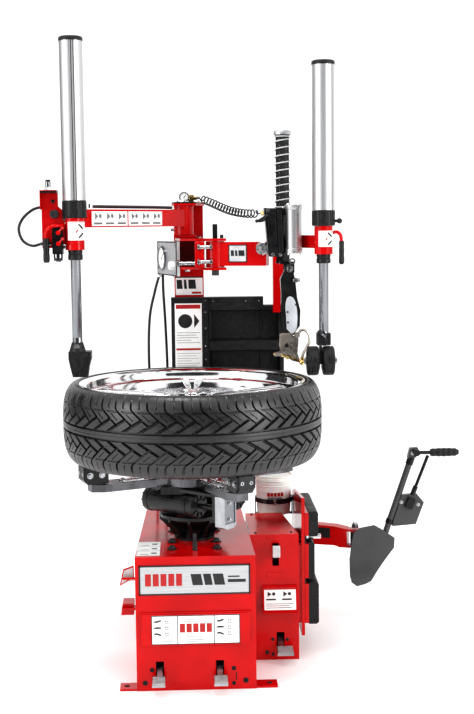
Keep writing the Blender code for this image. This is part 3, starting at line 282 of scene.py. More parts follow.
class Piece:
    """One visible object made of several joined shapes, riding on a CAD body."""

    def __init__(self, name, body, look):
        self.name, self.body, self.look = name, body, M[look]
        self.mesh = bmesh.new()

    def box(self, x, y, z, place=None):
        size = Vector((x[1] - x[0], y[1] - y[0], z[1] - z[0]))
        middle = Vector((x[0] + x[1], y[0] + y[1], z[0] + z[1])) / 2
        matrix = (place or Matrix()) @ Matrix.Translation(middle) @ Matrix.Diagonal((*size, 1.0))
        bmesh.ops.create_cube(self.mesh, size=1.0, matrix=matrix)
        return self

    def rod(self, start, end, radius, sides=24, end_radius=None, place=None):
        matrix = (place or Matrix()) @ along(start, end)
        far = radius if end_radius is None else end_radius
        bmesh.ops.create_cone(self.mesh, cap_ends=True, segments=sides, radius1=radius, radius2=far,
                              depth=(Vector(end) - Vector(start)).length, matrix=matrix)
        return self

    def ball(self, centre, radius):
        bmesh.ops.create_uvsphere(self.mesh, u_segments=20, v_segments=12, radius=radius,
                                  matrix=Matrix.Translation(centre))
        return self

    def grid(self, rows, closed=False):
        """A skin over rings of points, joined to its first ring when closed, else capped."""
        made = [[self.mesh.verts.new(p) for p in row] for row in rows]
        for low, high in zip(made, made[1:] + made[:1] if closed else made[1:]):
            for i, corner in enumerate(low):
                j = (i + 1) % len(low)
                self.mesh.faces.new((corner, low[j], high[j], high[i]))
        if not closed:
            self.mesh.faces.new(made[0][::-1])
            self.mesh.faces.new(made[-1])
        return self

    def lathe(self, profile, place=None, steps=48, closed=False):
        """A (radius, height) profile turned about Z and capped where it ends off the axis."""
        place = place or Matrix()
        return self.grid([[place @ Vector((*p, h)) for p in around(0, 0, r, steps)] for r, h in profile],
                         closed)

    def sheet(self, x, z, low, high, place=None):
        """A rectangular prism."""
        return self.prism([(x[0], z[0]), (x[1], z[0]), (x[1], z[1]), (x[0], z[1])], low, high, place)

    def prism(self, points, low, high, place=None):
        """A flat outline given thickness from low to high along the placement's Z."""
        place = place or Matrix()
        ends = [[self.mesh.verts.new(place @ Vector((x, y, h))) for x, y in points] for h in (low, high)]
        self.mesh.faces.new(ends[0][::-1])
        self.mesh.faces.new(ends[1])
        for i in range(len(points)):
            j = (i + 1) % len(points)
            self.mesh.faces.new((ends[0][i], ends[0][j], ends[1][j], ends[1][i]))
        return self

    def sweep(self, points, radius, sides=10):
        """A round tube along points."""
        turns = [(cos(2 * pi * k / sides), sin(2 * pi * k / sides)) for k in range(sides)]
        return self.grid([[point + radius * (c * normal + s * side) for c, s in turns]
                          for point, normal, side in frames([Vector(p) for p in points])])

    def bolt(self, point, normal, radius=0.0065, height=0.0045, washer=True):
        """A hexagon head, chamfered, on a washer."""
        normal = Vector(normal).normalized()
        point = Vector(point)
        base = 0.0
        if washer:
            self.rod(point, point + normal * 0.0012, radius * 1.45, sides=20)
            base = 0.0012
        lower = point + normal * base
        upper = point + normal * (base + height * 0.8)
        self.rod(lower, upper, radius, sides=6)
        self.rod(upper, point + normal * (base + height), radius, sides=6, end_radius=radius * 0.82)
        return self

    def screw(self, point, normal, radius=0.0045, height=0.0028):
        """A round socket head with a dished top."""
        normal = Vector(normal).normalized()
        turn = normal.to_track_quat("Z", "Y").to_matrix().to_4x4()
        self.lathe([(radius, 0.0), (radius, height * 0.7), (radius * 0.8, height),
                    (radius * 0.45, height), (radius * 0.4, height * 0.45)],
                   Matrix.Translation(point) @ turn, steps=16)
        return self

    def done(self, bevel=0.0, smooth=35.0, replaces=()):
        bmesh.ops.recalc_face_normals(self.mesh, faces=self.mesh.faces)
        data = bpy.data.meshes.new(self.name)
        self.mesh.to_mesh(data)
        self.mesh.free()
        data.materials.append(self.look)
        item = bpy.data.objects.new(self.name, data)
        bpy.context.scene.collection.objects.link(item)
        finished(item, bevel, smooth)
        if self.body:
            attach(item, self.body)
        if replaces:
            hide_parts(*replaces)
        return item


def smooth_route(points, spacing):
    """Evenly spaced points on a Catmull-Rom curve through the route's own points."""
    route = [Vector(p) for p in points]
    route = [2 * route[0] - route[1]] + route + [2 * route[-1] - route[-2]]
    fine = []
    for a, b, c, d in zip(route, route[1:], route[2:], route[3:]):
        for i in range(24):
            t = i / 24
            fine.append(0.5 * (2 * b + (c - a) * t + (2 * a - 5 * b + 4 * c - d) * t ** 2
                               + (3 * b - a - 3 * c + d) * t ** 3))
    fine.append(route[-2])
    total = route_length(fine)
    count = max(2, round(total / spacing))
    result, travelled, index = [fine[0]], 0.0, 0
    for k in range(1, count):
        target = total * k / count
        while travelled + (fine[index + 1] - fine[index]).length < target:
            travelled += (fine[index + 1] - fine[index]).length
            index += 1
        step = fine[index + 1] - fine[index]
        result.append(fine[index] + step * ((target - travelled) / step.length))
    return result + [fine[-1]]


def route_length(points):
    return sum(((Vector(b) - Vector(a)).length for a, b in zip(points, points[1:])))


def dress(node, look, bevel=0.0, smooth=35.0, segments=2):
    """A CAD node's finish: its material, rounded edges and smooth shading."""
    item = NODES[node]
    item.data.materials.clear()
    item.data.materials.append(M[look])
    return finished(item, bevel, smooth, segments)


# ---- wheel --------------------------------------------------------------------------
TYRE_R = 0.392
PITCHES, COLUMNS = 48, 32                # tread pitches round the tyre, mesh columns in each
PITCH = 2 * pi * TYRE_R / PITCHES
RIB_EDGE, RIB_GROOVE_END = 0.009, 0.0152
LONG_SLOPE, CROSS_SLOPE = 1.26, 2.9     # sideways run of the two groove kinds per unit of rise
KNEE = 0.058                             # rise at which the long grooves turn upright
TREAD_PROFILE = [(0.392, 0.0), (0.3919, 0.025), (0.3905, 0.05), (0.3868, 0.075), (0.38, 0.094),
                 (0.37, 0.109), (0.36, 0.1162), (0.351, 0.1158), (0.3455, 0.1095), (0.342, 0.1065),
                 (0.33, 0.106)]


def tyre_rows():
    """(radius, height, outward normal) of each mesh row over the upper half of the tyre."""
    points = smooth_route([(r, z, 0.0) for r, z in TREAD_PROFILE], 0.0019)
    points = [p for p in points if not 0.0075 < p.y < 0.017]
    groove = (RIB_EDGE - 0.0006, RIB_EDGE, RIB_EDGE + 0.0007, 0.0121, RIB_GROOVE_END - 0.0007,
              RIB_GROOVE_END, RIB_GROOVE_END + 0.0006)
    points += [Vector((0.3919, z, 0.0)) for z in groove]
    points = sorted(points, key=lambda p: p.y if p.x > 0.372 else 0.2 - p.x * 0.25)
    rows = []
    for i, point in enumerate(points):
        before, after = points[max(i - 1, 0)], points[min(i + 1, len(points) - 1)]
        tangent = (after - before).normalized()
        rows.append((*point.xy, Vector((tangent.y, -tangent.x, 0.0))))
    rows[0] = (rows[0][0], rows[0][1], Vector((1.0, 0.0, 0.0)))
    return rows


def main_lean(rise):
    """How far a long groove has leaned sideways at a height over the rib groove."""
    return -LONG_SLOPE * (min(rise, KNEE) + 0.007 * (1 - np.exp(-max(0.0, rise - KNEE) / 0.007)))


def slot_depth(distance, half, depth, wall=0.0007):
    """Depth of a groove at a distance from its middle line, with steep walls."""
    return depth * np.clip((half + wall - np.abs(distance)) / wall, 0.0, 1.0)


def tread_depth(u, height, travelled):
    """Groove depth over one pitch; u runs 0 to 1 beside the long groove, which is at 0."""
    side = (u + 0.5) % 1.0 * PITCH - 0.5 * PITCH
    depth = np.zeros_like(u)
    if RIB_EDGE < height < RIB_GROOVE_END:
        depth = np.maximum(depth, 0.0105)
    if height < 0.0012:
        depth = np.maximum(depth, 0.0012)
    rise = travelled - RIB_GROOVE_END
    if rise > 0.0:
        fade = float(np.clip((0.112 - travelled) / 0.03, 0.1, 1.0))
        half = 0.0032 if rise < KNEE else 0.0017
        if rise > PITCH / CROSS_SLOPE and travelled < 0.124:
            depth = np.maximum(depth, slot_depth(side, half, 0.01 * fade))
        cross = (side - CROSS_SLOPE * rise + 0.5 * PITCH) % PITCH - 0.5 * PITCH
        if rise < 2 * PITCH / CROSS_SLOPE:
            depth = np.maximum(depth, slot_depth(cross, 0.0052, 0.0085, 0.0012))
        middle = side % PITCH - 0.5 * PITCH
        if 0.033 < rise < 0.05:
            depth = np.maximum(depth, slot_depth(middle + 0.004, 0.0008, 0.0034, 0.0006))
        if 0.066 < rise < 0.108:
            depth = np.maximum(depth, slot_depth(middle, 0.0012, 0.0036 * fade + 0.0006, 0.0006))
        if 0.0545 < rise < 0.0572:
            wave = (side % PITCH > 0.25 * PITCH)
            depth = np.maximum(depth, wave * 0.0026)
    return depth


def tyre():
    """Carcass with its tread cut in: long leaning grooves mirrored about a plain centre rib."""
    count = PITCHES * COLUMNS
    column = np.arange(count) / COLUMNS
    places, travelled, last = [], 0.0, None
    for radius, height, normal in tyre_rows():
        if last is not None:
            travelled += hypot(radius - last[0], height - last[1])
        last = (radius, height)
        lean = main_lean(max(0.0, travelled - RIB_GROOVE_END))
        depth = tread_depth(column % 1.0, height, travelled)
        angle = (column * PITCH + lean) / TYRE_R - pi / 2
        ring = np.stack([(radius - normal.x * depth) * np.cos(angle),
                         (radius - normal.x * depth) * np.sin(angle), height - normal.y * depth], axis=1)
        places.append(ring)
    rings = [ring * (1, 1, -1) for ring in places[:0:-1]] + places
    vertices = np.concatenate(rings) + (0, 0, WHEEL_MID)
    rows = len(rings)
    i = np.arange(rows - 1)[:, None] * count
    j = np.arange(count)[None, :]
    k = (j + 1) % count
    faces = np.stack([i + j, i + k, i + count + k, i + count + j], axis=-1).reshape(-1, 4)
    data = bpy.data.meshes.new("tread_and_sidewalls")
    data.from_pydata(vertices.tolist(), [], faces.tolist())
    data.materials.append(M["tyre"])
    item = bpy.data.objects.new("tread_and_sidewalls", data)
    bpy.context.scene.collection.objects.link(item)
    finished(item, smooth=32)
    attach(item, "turntable")
    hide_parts("tyre")


def rim():
    """Deep polished rim: rolled lips, barrel, five pairs of ribs and a hub."""
    half = [(0.344, 0.111), (0.3425, 0.114), (0.3385, 0.115), (0.334, 0.1135), (0.33, 0.1095),
            (0.324, 0.108), (0.3205, 0.1065), (0.3175, 0.099), (0.3165, 0.088), (0.313, 0.083),
            (0.306, 0.08), (0.303, 0.074), (0.2985, 0.052)]
    outer = [(0.3415, 0.104), (0.323, 0.104), (0.3225, 0.086), (0.304, 0.05)]
    inside = [(r, WHEEL_MID + z) for r, z in half] + [(r, WHEEL_MID - z) for r, z in half[::-1]]
    outside = [(r, WHEEL_MID + z) for r, z in outer] + [(r, WHEEL_MID - z) for r, z in outer[::-1]]
    barrel = Piece("rim_barrel", "turntable", "polished")
    barrel.lathe(inside + outside[::-1], steps=144, closed=True)
    barrel.done(smooth=40, replaces=["rim"])
    ribs = Piece("rim_ribs", "turntable", "polished")
    for number in range(5):
        for lean in (-1, 1):
            turn = turned(number * 2 * pi / 5 + radians(18) + lean * radians(4.2))
            rise = at(0, 0, 0.822) @ Matrix.Rotation(radians(-3.4), 4, "Y")
            ribs.prism([(0.062, -0.01), (0.15, -0.0075), (0.297, -0.0135), (0.304, -0.015), (0.304, 0.015),
                        (0.297, 0.0135), (0.15, 0.0075), (0.062, 0.01)], -0.016, 0.012, turn @ rise)
    ribs.done(bevel=0.0035)
    hub = Piece("rim_hub", "turntable", "polished")
    hub.lathe([(0.036, 0.79), (0.036, 0.828), (0.04, 0.832), (0.066, 0.834), (0.08, 0.828), (0.088, 0.815),
               (0.086, 0.79)], steps=72, closed=True)
    hub.done(smooth=40)


def rim_details():
    """Nut seats, balance weights and the valve."""
    nuts = Piece("rim_nut_seats", "turntable", "cast")
    for x, y in around(0, 0, 0.056, 5, radians(54)):
        nuts.lathe([(0.0105, 0.8325), (0.0105, 0.8355), (0.008, 0.836), (0.007, 0.8335)], at(x, y),
                   steps=20)
    nuts.done()
    weights = Piece("balance_weights", "turntable", "zinc")
    for start in (200, 250, 292):
        rows = []
        for i in range(9):
            angle = radians(start + i * 0.9)
            c, s = cos(angle), sin(angle)
            rows.append([Vector((r * c, r * s, z)) for r, z in ((0.3162, 0.8685), (0.3135, 0.868),
                                                                (0.3135, 0.861), (0.316, 0.86))])
        weights.grid(rows)
    weights.done()
    valve = Piece("tyre_valve", "turntable", "rubber")
    valve.rod((0.3, 0.0, 0.835), (0.288, 0.0, 0.858), 0.0045, sides=16)
    valve.rod((0.2884, 0.0, 0.8572), (0.2862, 0.0, 0.8615), 0.0034, sides=16)
    valve.done()


# ---- turntable ----------------------------------------------------------------------
def jaw_place(number):
    return turned(TABLE_TURN + (number - 1) * pi / 2)


CYLINDER_Y, CYLINDER_Z = -0.08, 0.5225   # axis of each clamp cylinder, in its own frame


def turntable():
    dress("table", "table", 0.002)
    plates = Piece("table_slide_plates", "turntable", "polished")
    for place in (jaw_place(number) for number in range(1, 5)):
        for outline in ([(0.105, -0.026), (0.238, -0.026), (0.238, -0.009), (0.105, -0.006)],
                        [(0.105, 0.006), (0.238, 0.009), (0.238, 0.026), (0.105, 0.026)]):
            plates.prism(outline, 0.5985, 0.6005, place)
    plates.lathe([(0.058, 0.6), (0.058, 0.606), (0.05, 0.609), (0.018, 0.609)], steps=48)
    plates.done(bevel=0.0006)
    bolts = Piece("table_bolts", "turntable", "zinc")
    for number in range(1, 5):
        for x in (0.122, 0.225):
            for y in (0.018, -0.018):
                bolts.screw(jaw_place(number) @ Vector((x, y, 0.6005)), Z, 0.0055)
    bolts.bolt((0, 0, 0.609), Z, 0.014, 0.01)
    bolts.done()


def clamp_cylinders():
    """End guards, bands and ribbed caps of the two cylinders, and their air line."""
    dress("clamp_cylinders", "cast", 0.0012)
    guards = Piece("clamp_end_guards", "turntable", "steel")
    backs = Piece("clamp_guard_backs", "turntable", "rod")
    ends = Piece("cylinder_bands", "turntable", "cast")
    caps = Piece("cylinder_ribbed_caps", "turntable", "cast")
    for turn in (0.0, pi):
        place = turned(turn + CLAMP_TURN)
        face = place @ axes((0.203, 0, 0), Y, Z)
        guards.prism([(-0.108, 0.476), (-0.096, 0.47), (-0.064, 0.47), (-0.052, 0.476), (-0.052, 0.566),
                      (-0.056, 0.566), (-0.056, 0.486), (-0.104, 0.486), (-0.104, 0.566), (-0.108, 0.566)],
                     -0.03, 0.005, face)
        backs.sheet((-0.104, -0.056), (0.486, 0.56), 0.0003, 0.0016, face)
        for z in (0.498, 0.546):
            guards.bolt(place @ Vector((0.2046, CYLINDER_Y, z)), place.to_3x3() @ Vector(X), 0.0055)
        ends.rod((0.05, CYLINDER_Y, CYLINDER_Z), (0.062, CYLINDER_Y, CYLINDER_Z), 0.0382, sides=48,
                 place=place)
        for along_x, side in ((-0.11, -1), (0.0885, 1)):
            cap = place @ axes((along_x, CYLINDER_Y, CYLINDER_Z), (0, side, 0), Z)
            caps.lathe([(0.036, -0.02), (0.0385, -0.018), (0.0385, -0.002), (0.035, 0.0015), (0.021, 0.002),
                        (0.019, 0.005), (0.012, 0.0055)], cap, steps=48)
            for rib in range(10):
                caps.box((0.022, 0.036), (-0.0015, 0.0015), (0.001, 0.0055), cap @ turned(rib * pi / 5))
    guards.done(bevel=0.0008)
    backs.done()
    ends.done(bevel=0.0012)
    caps.done(bevel=0.0007)
    line = Piece("table_air_line", "turntable", "rubber")
    place = turned(CLAMP_TURN + pi)
    route = [place @ Vector(p) for p in ((0.075, -0.06, 0.5565), (0.112, -0.032, 0.548),
                                         (0.14, -0.03, 0.52), (0.126, -0.05, 0.494),
                                         (0.075, -0.062, 0.4885))]
    line.sweep(smooth_route(route, 0.006), 0.0042, 10)
    line.done()


def jaws():
    """Each carriage gets side plates, two bolts and a serrated finger."""
    for number in range(1, 5):
        dress(f"jaw_{number}", "cast", 0.0022)
        place = jaw_place(number)
        body = f"clamp_jaw_{number}"
        plates = Piece(f"jaw_{number}_plates", body, "black")
        for side in (-1, 1):
            low, high = sorted((side * 0.0242, side * 0.0285))
            plates.prism([(0.291, 0.6035), (0.345, 0.6035), (0.3605, 0.617), (0.3605, 0.65), (0.306, 0.65),
                          (0.291, 0.632)], low, high, place @ front(0))
        plates.done(bevel=0.0012)
        teeth = Piece(f"jaw_{number}_teeth", body, "steel")
        for step in range(5):
            z = 0.6575 + step * 0.0042
            teeth.box((0.312, 0.3138), (-0.019, 0.019), (z, z + 0.0022), place)
        for side in (-1, 1):
            normal = place.to_3x3() @ Vector((0, side, 0))
            for x in (0.307, 0.344):
                teeth.bolt(place @ Vector((x, side * 0.0285, 0.628)), normal, 0.0066, 0.005)
        for y in (0.014, -0.014):
            teeth.screw(place @ Vector((0.3605, y, 0.632)), place.to_3x3() @ Vector(X), 0.006)
        teeth.done()


# ---- drive --------------------------------------------------------------------------
def gearbox():
    """The ribbed casting under the turntable, and the motor, pulleys and belt inside the cabinet."""
    dress("gearbox", "cast", 0.0025)
    for node, look in (("motor", "grey"), ("motor_pulley", "steel"), ("gearbox_pulley", "steel"),
                       ("drive_belt", "rubber")):
        dress(node, look, 0.0004)
    ribs = Piece("gearbox_ribs", "base", "cast")
    for number in range(10):
        place = turned(number * 2 * pi / 10 + radians(9))
        ribs.prism([(0.04, 0.41), (0.047, 0.428), (0.064, 0.443), (0.1005, 0.467), (0.1045, 0.47),
                    (0.1045, 0.478), (0.108, 0.478), (0.108, 0.463), (0.08, 0.436), (0.062, 0.41)], -0.004,
                   0.004, place @ front(0))
    ribs.lathe([(0.1065, 0.47), (0.1065, 0.4815), (0.098, 0.4835), (0.098, 0.47)], steps=64, closed=True)
    ribs.done(bevel=0.0018)
    bolts = Piece("gearbox_bolts", "base", "cast")
    for x in (-0.068, 0.066):
        for y in (0.076, -0.068, -0.15):
            bolts.rod((x, y, CAB_TOP + 0.0003), (x, y, 0.4035), 0.0145, sides=28)
            bolts.bolt((x, y, 0.4035), Z, 0.01, 0.0075, washer=False)
    for low, high, radius, sides in ((0.4003, 0.425, 0.0085, 6), (0.425, 0.45, 0.0058, 16),
                                     (0.45, 0.4525, 0.0045, 16)):
        bolts.rod((0, -0.165, low), (0, -0.165, high), radius, sides=sides)
    bolts.done(bevel=0.0006)


# ---- cabinets -----------------------------------------------------------------------
def cabinet_side_plate():
    """A tilted tab with a grey label on the cabinet's left side, and the bracket under it."""
    place = front(-0.2)
    tab = Piece("side_tab", "base", "red")
    tab.prism([(-0.2216, 0.307), (-0.1792, 0.33), (-0.1792, 0.368), (-0.2105, 0.357)], -0.0015, 0.0015,
              place)
    tab.prism([(-0.219, 0.219), (-0.181, 0.219), (-0.181, 0.253), (-0.214, 0.253)], -0.06, 0.0, place)
    tab.done(bevel=0.001)
    label = Piece("side_tab_label", "base", "grey")
    label.prism([(-0.2165, 0.314), (-0.182, 0.334), (-0.182, 0.362), (-0.2075, 0.353)], 0.0016, 0.0024,
                place)
    label.done()


def outline_frame(piece, x, z, width, low, high, place):
    """A rectangular frame of bars drawn in X and Z."""
    for z_span in ((z[0], z[0] + width), (z[1] - width, z[1])):
        piece.sheet(x, z_span, low, high, place)
    for x_span in ((x[0], x[0] + width), (x[1] - width, x[1])):
        piece.sheet(x_span, z, low, high, place)


def arrows(piece, x, z, size, place):
    """A generic pictogram: a bar, a disc and an arrowhead."""
    piece.sheet((x, x + size), (z, z + size * 0.16), 0, THICK_INK, place)
    piece.prism([(x + size * 0.15, z + size * 0.35), (x + size * 0.55, z + size * 0.62),
                 (x + size * 0.15, z + size * 0.9)], 0, THICK_INK, place)
    piece.prism(around(x + size * 0.78, z + size * 0.64, size * 0.17, 16), 0, THICK_INK, place)


def text_bars(piece, x, z, width, rows, gap, place, thick=0.0016):
    """Rows of plain bars in place of printed text."""
    for row in range(rows):
        share = (1.0, 0.86, 0.94, 0.62)[row % 4]
        low = z - row * gap
        piece.sheet((x, x + width * share), (low, low + thick), 0, INK, place)


def main_cabinet():
    dress("main_cabinet", "red", 0.0035, segments=3)
    name_plate()
    pedal_label()
    cabinet_side_plate()
    cabinet_holes()
    top_label()
    rear_panel()
    louvres()


def name_plate():
    """A bordered plate with slanted and plain blocks in place of a name."""
    face = front(CAB_FRONT)
    plate = Piece("name_plate", "base", "plate")
    plate.sheet((-0.16, 0.155), (0.291, 0.371), 0.0003, 0.0022, face)
    plate.done(bevel=0.0004)
    edge = Piece("name_plate_border", "base", "print")
    outline_frame(edge, (-0.164, 0.159), (0.287, 0.375), 0.0042, 0.0003, 0.003, face)
    for x, width in ((-0.008, 0.03), (0.028, 0.022), (0.056, 0.03)):
        edge.prism([(x, 0.315), (x + width, 0.315), (x + width - 0.006, 0.348), (x - 0.006, 0.348)], 0.0022,
                   0.0027, face)
    edge.sheet((0.094, 0.146), (0.322, 0.331), 0.0022, 0.0027, face)
    edge.sheet((0.094, 0.128), (0.337, 0.341), 0.0022, 0.0027, face)
    edge.done()
    bars = Piece("name_plate_bands", "base", "red_print")
    for step in range(5):
        x = -0.146 + step * 0.0225
        bars.sheet((x, x + 0.017), (0.314, 0.35), 0.0022, 0.0027, face)
    bars.done()


def pedal_label():
    """A red panel with a white label: pedal strokes, pictograms and plain bars."""
    shield = Piece("pedal_label_panel", "base", "red")
    shield.prism([(-0.156, 0.232), (0.153, 0.232), (0.155, 0.229), (0.157, 0.146), (0.153, 0.139),
                  (0.146, 0.136), (-0.149, 0.136), (-0.156, 0.139), (-0.16, 0.146), (-0.158, 0.229)],
                 0.0001, 0.0034, front(CAB_FRONT - 0.005))
    shield.done(bevel=0.0016)
    label = Piece("pedal_label", "base", "white")
    panel = front(CAB_FRONT - 0.0083)
    label.sheet((-0.13, 0.128), (0.141, 0.228), 0.0002, 0.001, panel)
    label.done()
    printed = Piece("pedal_label_print", "base", "grey_print")
    sheet = front(CAB_FRONT - 0.0093)
    strokes = Piece("pedal_label_strokes", "base", "print")
    outline_frame(strokes, (-0.13, 0.128), (0.141, 0.228), 0.0024, 0, INK, sheet)
    for x in (-0.0547, 0.0517):
        strokes.sheet((x, x + 0.0022), (0.141, 0.228), 0, INK, sheet)
    for x in (-0.122, 0.0605):
        for row, lean in enumerate((0.004, 0.0, -0.004)):
            z = 0.207 - row * 0.018
            strokes.prism([(x, z), (x + 0.009, z), (x + 0.02, z + lean), (x + 0.02, z + lean + 0.005),
                           (x + 0.009, z + 0.0056), (x, z + 0.0044)], 0, INK, sheet)
            arrows(printed, x + 0.03, z - 0.004, 0.013, sheet)
            printed.sheet((x + 0.048, x + 0.066), (z + 0.001, z + 0.002), 0, INK, sheet)
        text_bars(printed, x + 0.018, 0.15, 0.036, 1, 0.006, sheet)
    strokes.done()
    text_bars(printed, -0.028, 0.215, 0.056, 2, 0.006, sheet)
    text_bars(printed, -0.028, 0.164, 0.056, 4, 0.005, sheet)
    printed.done()
    band = Piece("pedal_label_band", "base", "red_print")
    for step in range(5):
        x = -0.0475 + step * 0.0195
        band.sheet((x, x + 0.0155), (0.1766, 0.2033), 0, INK, sheet)
    band.done()


def cabinet_holes():
    """Plugged holes on the front; and painted shade: near-black sheets standing in for the shade in a slot
    on the front, in the anchor holes and behind the pedal slots.
    """
    holes = Piece("cabinet_holes", "base", "hole")
    for x, z, r in ((-0.13, 0.063, 0.0068), (-0.151, 0.024, 0.0076), (0.109, 0.063, 0.0068),
                    (0.109, 0.018, 0.006), (0.144, 0.026, 0.0082)):
        holes.rod((x, CAB_FRONT + 0.001, z), (x, CAB_FRONT - 0.0004, z), r, sides=24)
        holes.screw((x, CAB_FRONT - 0.0004, z), (0, -1, 0), r * 0.6, 0.0016)
    # Painted shade: a near-black sheet in the slot stands in for the shade inside the cabinet.
    holes.box((0.1145, 0.1175), (CAB_FRONT - 0.0004, CAB_FRONT + 0.001), (0.028, 0.052))
    holes.done()
    # Painted shade: near-black discs stand in for the shade inside the anchor holes.
    screws = Piece("cabinet_anchor_hole_shade", "base", "hole")
    for x in (-0.205, 0.215):
        screws.rod((x, -0.205, 0.006), (x, -0.205, 0.0068), 0.008, sides=28)
    screws.done()
    # Painted shade: near-black boxes behind the pedal slots stand in for the shade inside the cabinet, not
    # rubber gaiters.
    pedal_slot_shade = Piece("pedal_slot_painted_shade", "base", "hole")
    for x in (-0.107, 0.0685):
        for span in ((x - 0.016, x - 0.0105), (x + 0.0105, x + 0.016)):
            pedal_slot_shade.box(span, (CAB_FRONT + 0.006, CAB_FRONT + 0.05), (0.026, 0.092))
    pedal_slot_shade.done()


def top_label():
    """A white label along the cabinet's top."""
    Piece("top_label", "base", "white").box((-0.171, -0.103), (-0.218, -0.06), (0.4003, 0.401)).done()
    marks = Piece("top_label_print", "base", "grey_print")
    for y in (-0.168, -0.116):
        marks.box((-0.171, -0.103), (y, y + 0.0016), (0.4009, 0.4013))
    for row in range(3):
        y = -0.208 + row * 0.052
        marks.box((-0.16, -0.136), (y, y + 0.004), (0.4009, 0.4013))
        marks.box((-0.128, -0.112), (y + 0.006, y + 0.022), (0.4009, 0.4013))
    marks.done()


def rear_panel():
    """The access panel on the back, with its screws."""
    panel_back = Piece("rear_access_panel", "base", "red")
    panel_back.box((-0.12, 0.12), (0.6903, 0.6945), (0.07, 0.33))
    panel_back.done(bevel=0.0015)
    rear = Piece("rear_panel_screws", "base", "zinc")
    for x in (-0.11, 0.0, 0.11):
        for z in (0.08, 0.32):
            rear.screw((x, 0.6945, z), Y, 0.005)
    rear.done()


def louvres():
    """Seven pressed louvres on each side of the cabinet."""
    middle = 0.46
    half = 0.175 - 0.024 * (middle - CAB_FRONT) / 0.923
    for name, side in (("left", -1), ("right", 1)):
        vents = Piece(f"cabinet_louvres_{name}", "base", "red")
        for row in range(7):
            z = 0.11 + row * 0.02
            vents.box(sorted((side * (half - 0.002), side * (half + 0.005))),
                      (middle - 0.05, middle + 0.05), (z, z + 0.006))
        vents.done(bevel=0.0018)


def side_cabinet():
    dress("side_cabinet", "red", 0.003, segments=3)
    dress("valve_lever", "steel", 0.0015)
    grip = Piece("mode_lever_grip", "mode_lever", "grey")
    grip.prism([(-0.034, 0.336), (-0.008, 0.337), (-0.016, 0.368), (-0.022, 0.372), (-0.028, 0.37)], -0.012,
               0.012, axes((0.25, 0, 0), Y, Z))
    grip.done(bevel=0.003)
    # Painted shade: near-black boxes behind the lever's slot stand in for the shade inside the cabinet.
    lever_slot_shade = Piece("lever_slot_painted_shade", "base", "hole")
    for span in ((0.2365, 0.2395), (0.2605, 0.2635)):
        lever_slot_shade.box(span, (0.012, 0.04), (0.296, 0.376))
    lever_slot_shade.done()
    face = front(BOX_FRONT)
    bosses = Piece("side_panel_bosses", "base", "red")
    for x, z, w, h in ((0.222, 0.384, 0.02, 0.01), (0.222, 0.262, 0.052, 0.018)):
        bosses.sheet((x, x + w), (z, z + h), 0.0, 0.002, face)
    bosses.done(bevel=0.0009)
    side_label()
    screws = Piece("side_cabinet_screws", "base", "print")
    for x, z, r in ((0.24, 0.0657, 0.0052), (0.285, 0.0645, 0.0052), (0.2222, 0.0243, 0.0062),
                    (0.2405, 0.018, 0.0052)):
        screws.screw((x, BOX_FRONT, z), (0, -1, 0), r)
    for x, y in ((0.19, 0.03), (0.3, 0.03), (0.19, 0.28)):
        screws.screw((x, y, CAB_TOP), Z, 0.0045)
    screws.done()


def side_label():
    """The label on the side cabinet's tilted face: two pictograms, bars and a stripe."""
    tilt = at(0.0, BOX_FRONT - 0.02, 0.155) @ Matrix.Rotation(radians(-14), 4, "X")
    sheet = tilt @ front(-0.0061)
    Piece("side_label", "base", "white").sheet((0.213, 0.311), (0.01, 0.078), 0, 0.0007, sheet).done()
    printed = Piece("side_label_print", "base", "print")
    sheet = tilt @ front(-0.0068)
    for x in (0.219, 0.268):
        arrows(printed, x, 0.04, 0.03, sheet)
    text_bars(printed, 0.219, 0.028, 0.084, 3, 0.006, sheet)
    printed.done()
    stripe = Piece("side_label_stripe", "base", "red_print")
    stripe.sheet((0.213, 0.311), (0.072, 0.078), 0, INK, sheet)
    stripe.done()


def pedals():
    for side, y, pad in (("left", CAB_FRONT, (-0.129, -0.091)), ("right", CAB_FRONT, (0.05, 0.09)),
                         ("side", BOX_FRONT, (0.25, 0.3))):
        name = f"pedal_{side}"
        dress(name, "steel", 0.0012)
        tilt = at(0.0, y, 0.0465) @ Matrix.Rotation(radians(8), 4, "X")
        cover = Piece(f"{name}_tread", f"{side}_pedal", "panel")
        cover.box((pad[0] + 0.001, pad[1] - 0.001), (-0.0655, -0.02), (0.0042, 0.0068), tilt)
        for row in range(6):
            start = -0.0635 + row * 0.0072
            cover.box((pad[0] + 0.002, pad[1] - 0.002), (start, start + 0.0038), (0.0066, 0.0084), tilt)
        cover.done(bevel=0.0007)


# ---- column, board and bracket ------------------------------------------------------
def column():
    dress("column", "red", 0.0022)
    cover = Piece("column_top_cover", "base", "black")
    cover.prism([(-0.06, 0.61), (0.05, 0.61), (0.05, 0.502), (0.02, 0.406), (-0.052, 0.406), (-0.06, 0.43)],
                1.4253, 1.43)
    cover.done(bevel=0.0012)
    bolts = Piece("column_bolts", "base", "zinc")
    for x, y in ((-0.045, 0.595), (0.035, 0.595), (-0.044, 0.52), (0.034, 0.52)):
        bolts.bolt((x, y, 1.43), Z, 0.0065)
    for x in (-0.095, 0.086):
        for y in (0.458, 0.652):
            bolts.bolt((x, y, 0.409), Z, 0.0095, 0.007)
    bolts.bolt((*LEFT_HINGE.xy, 1.43), Z, 0.012, 0.007)
    bolts.done()
    pressure_gauge()
    air_inlet()
    column_label()


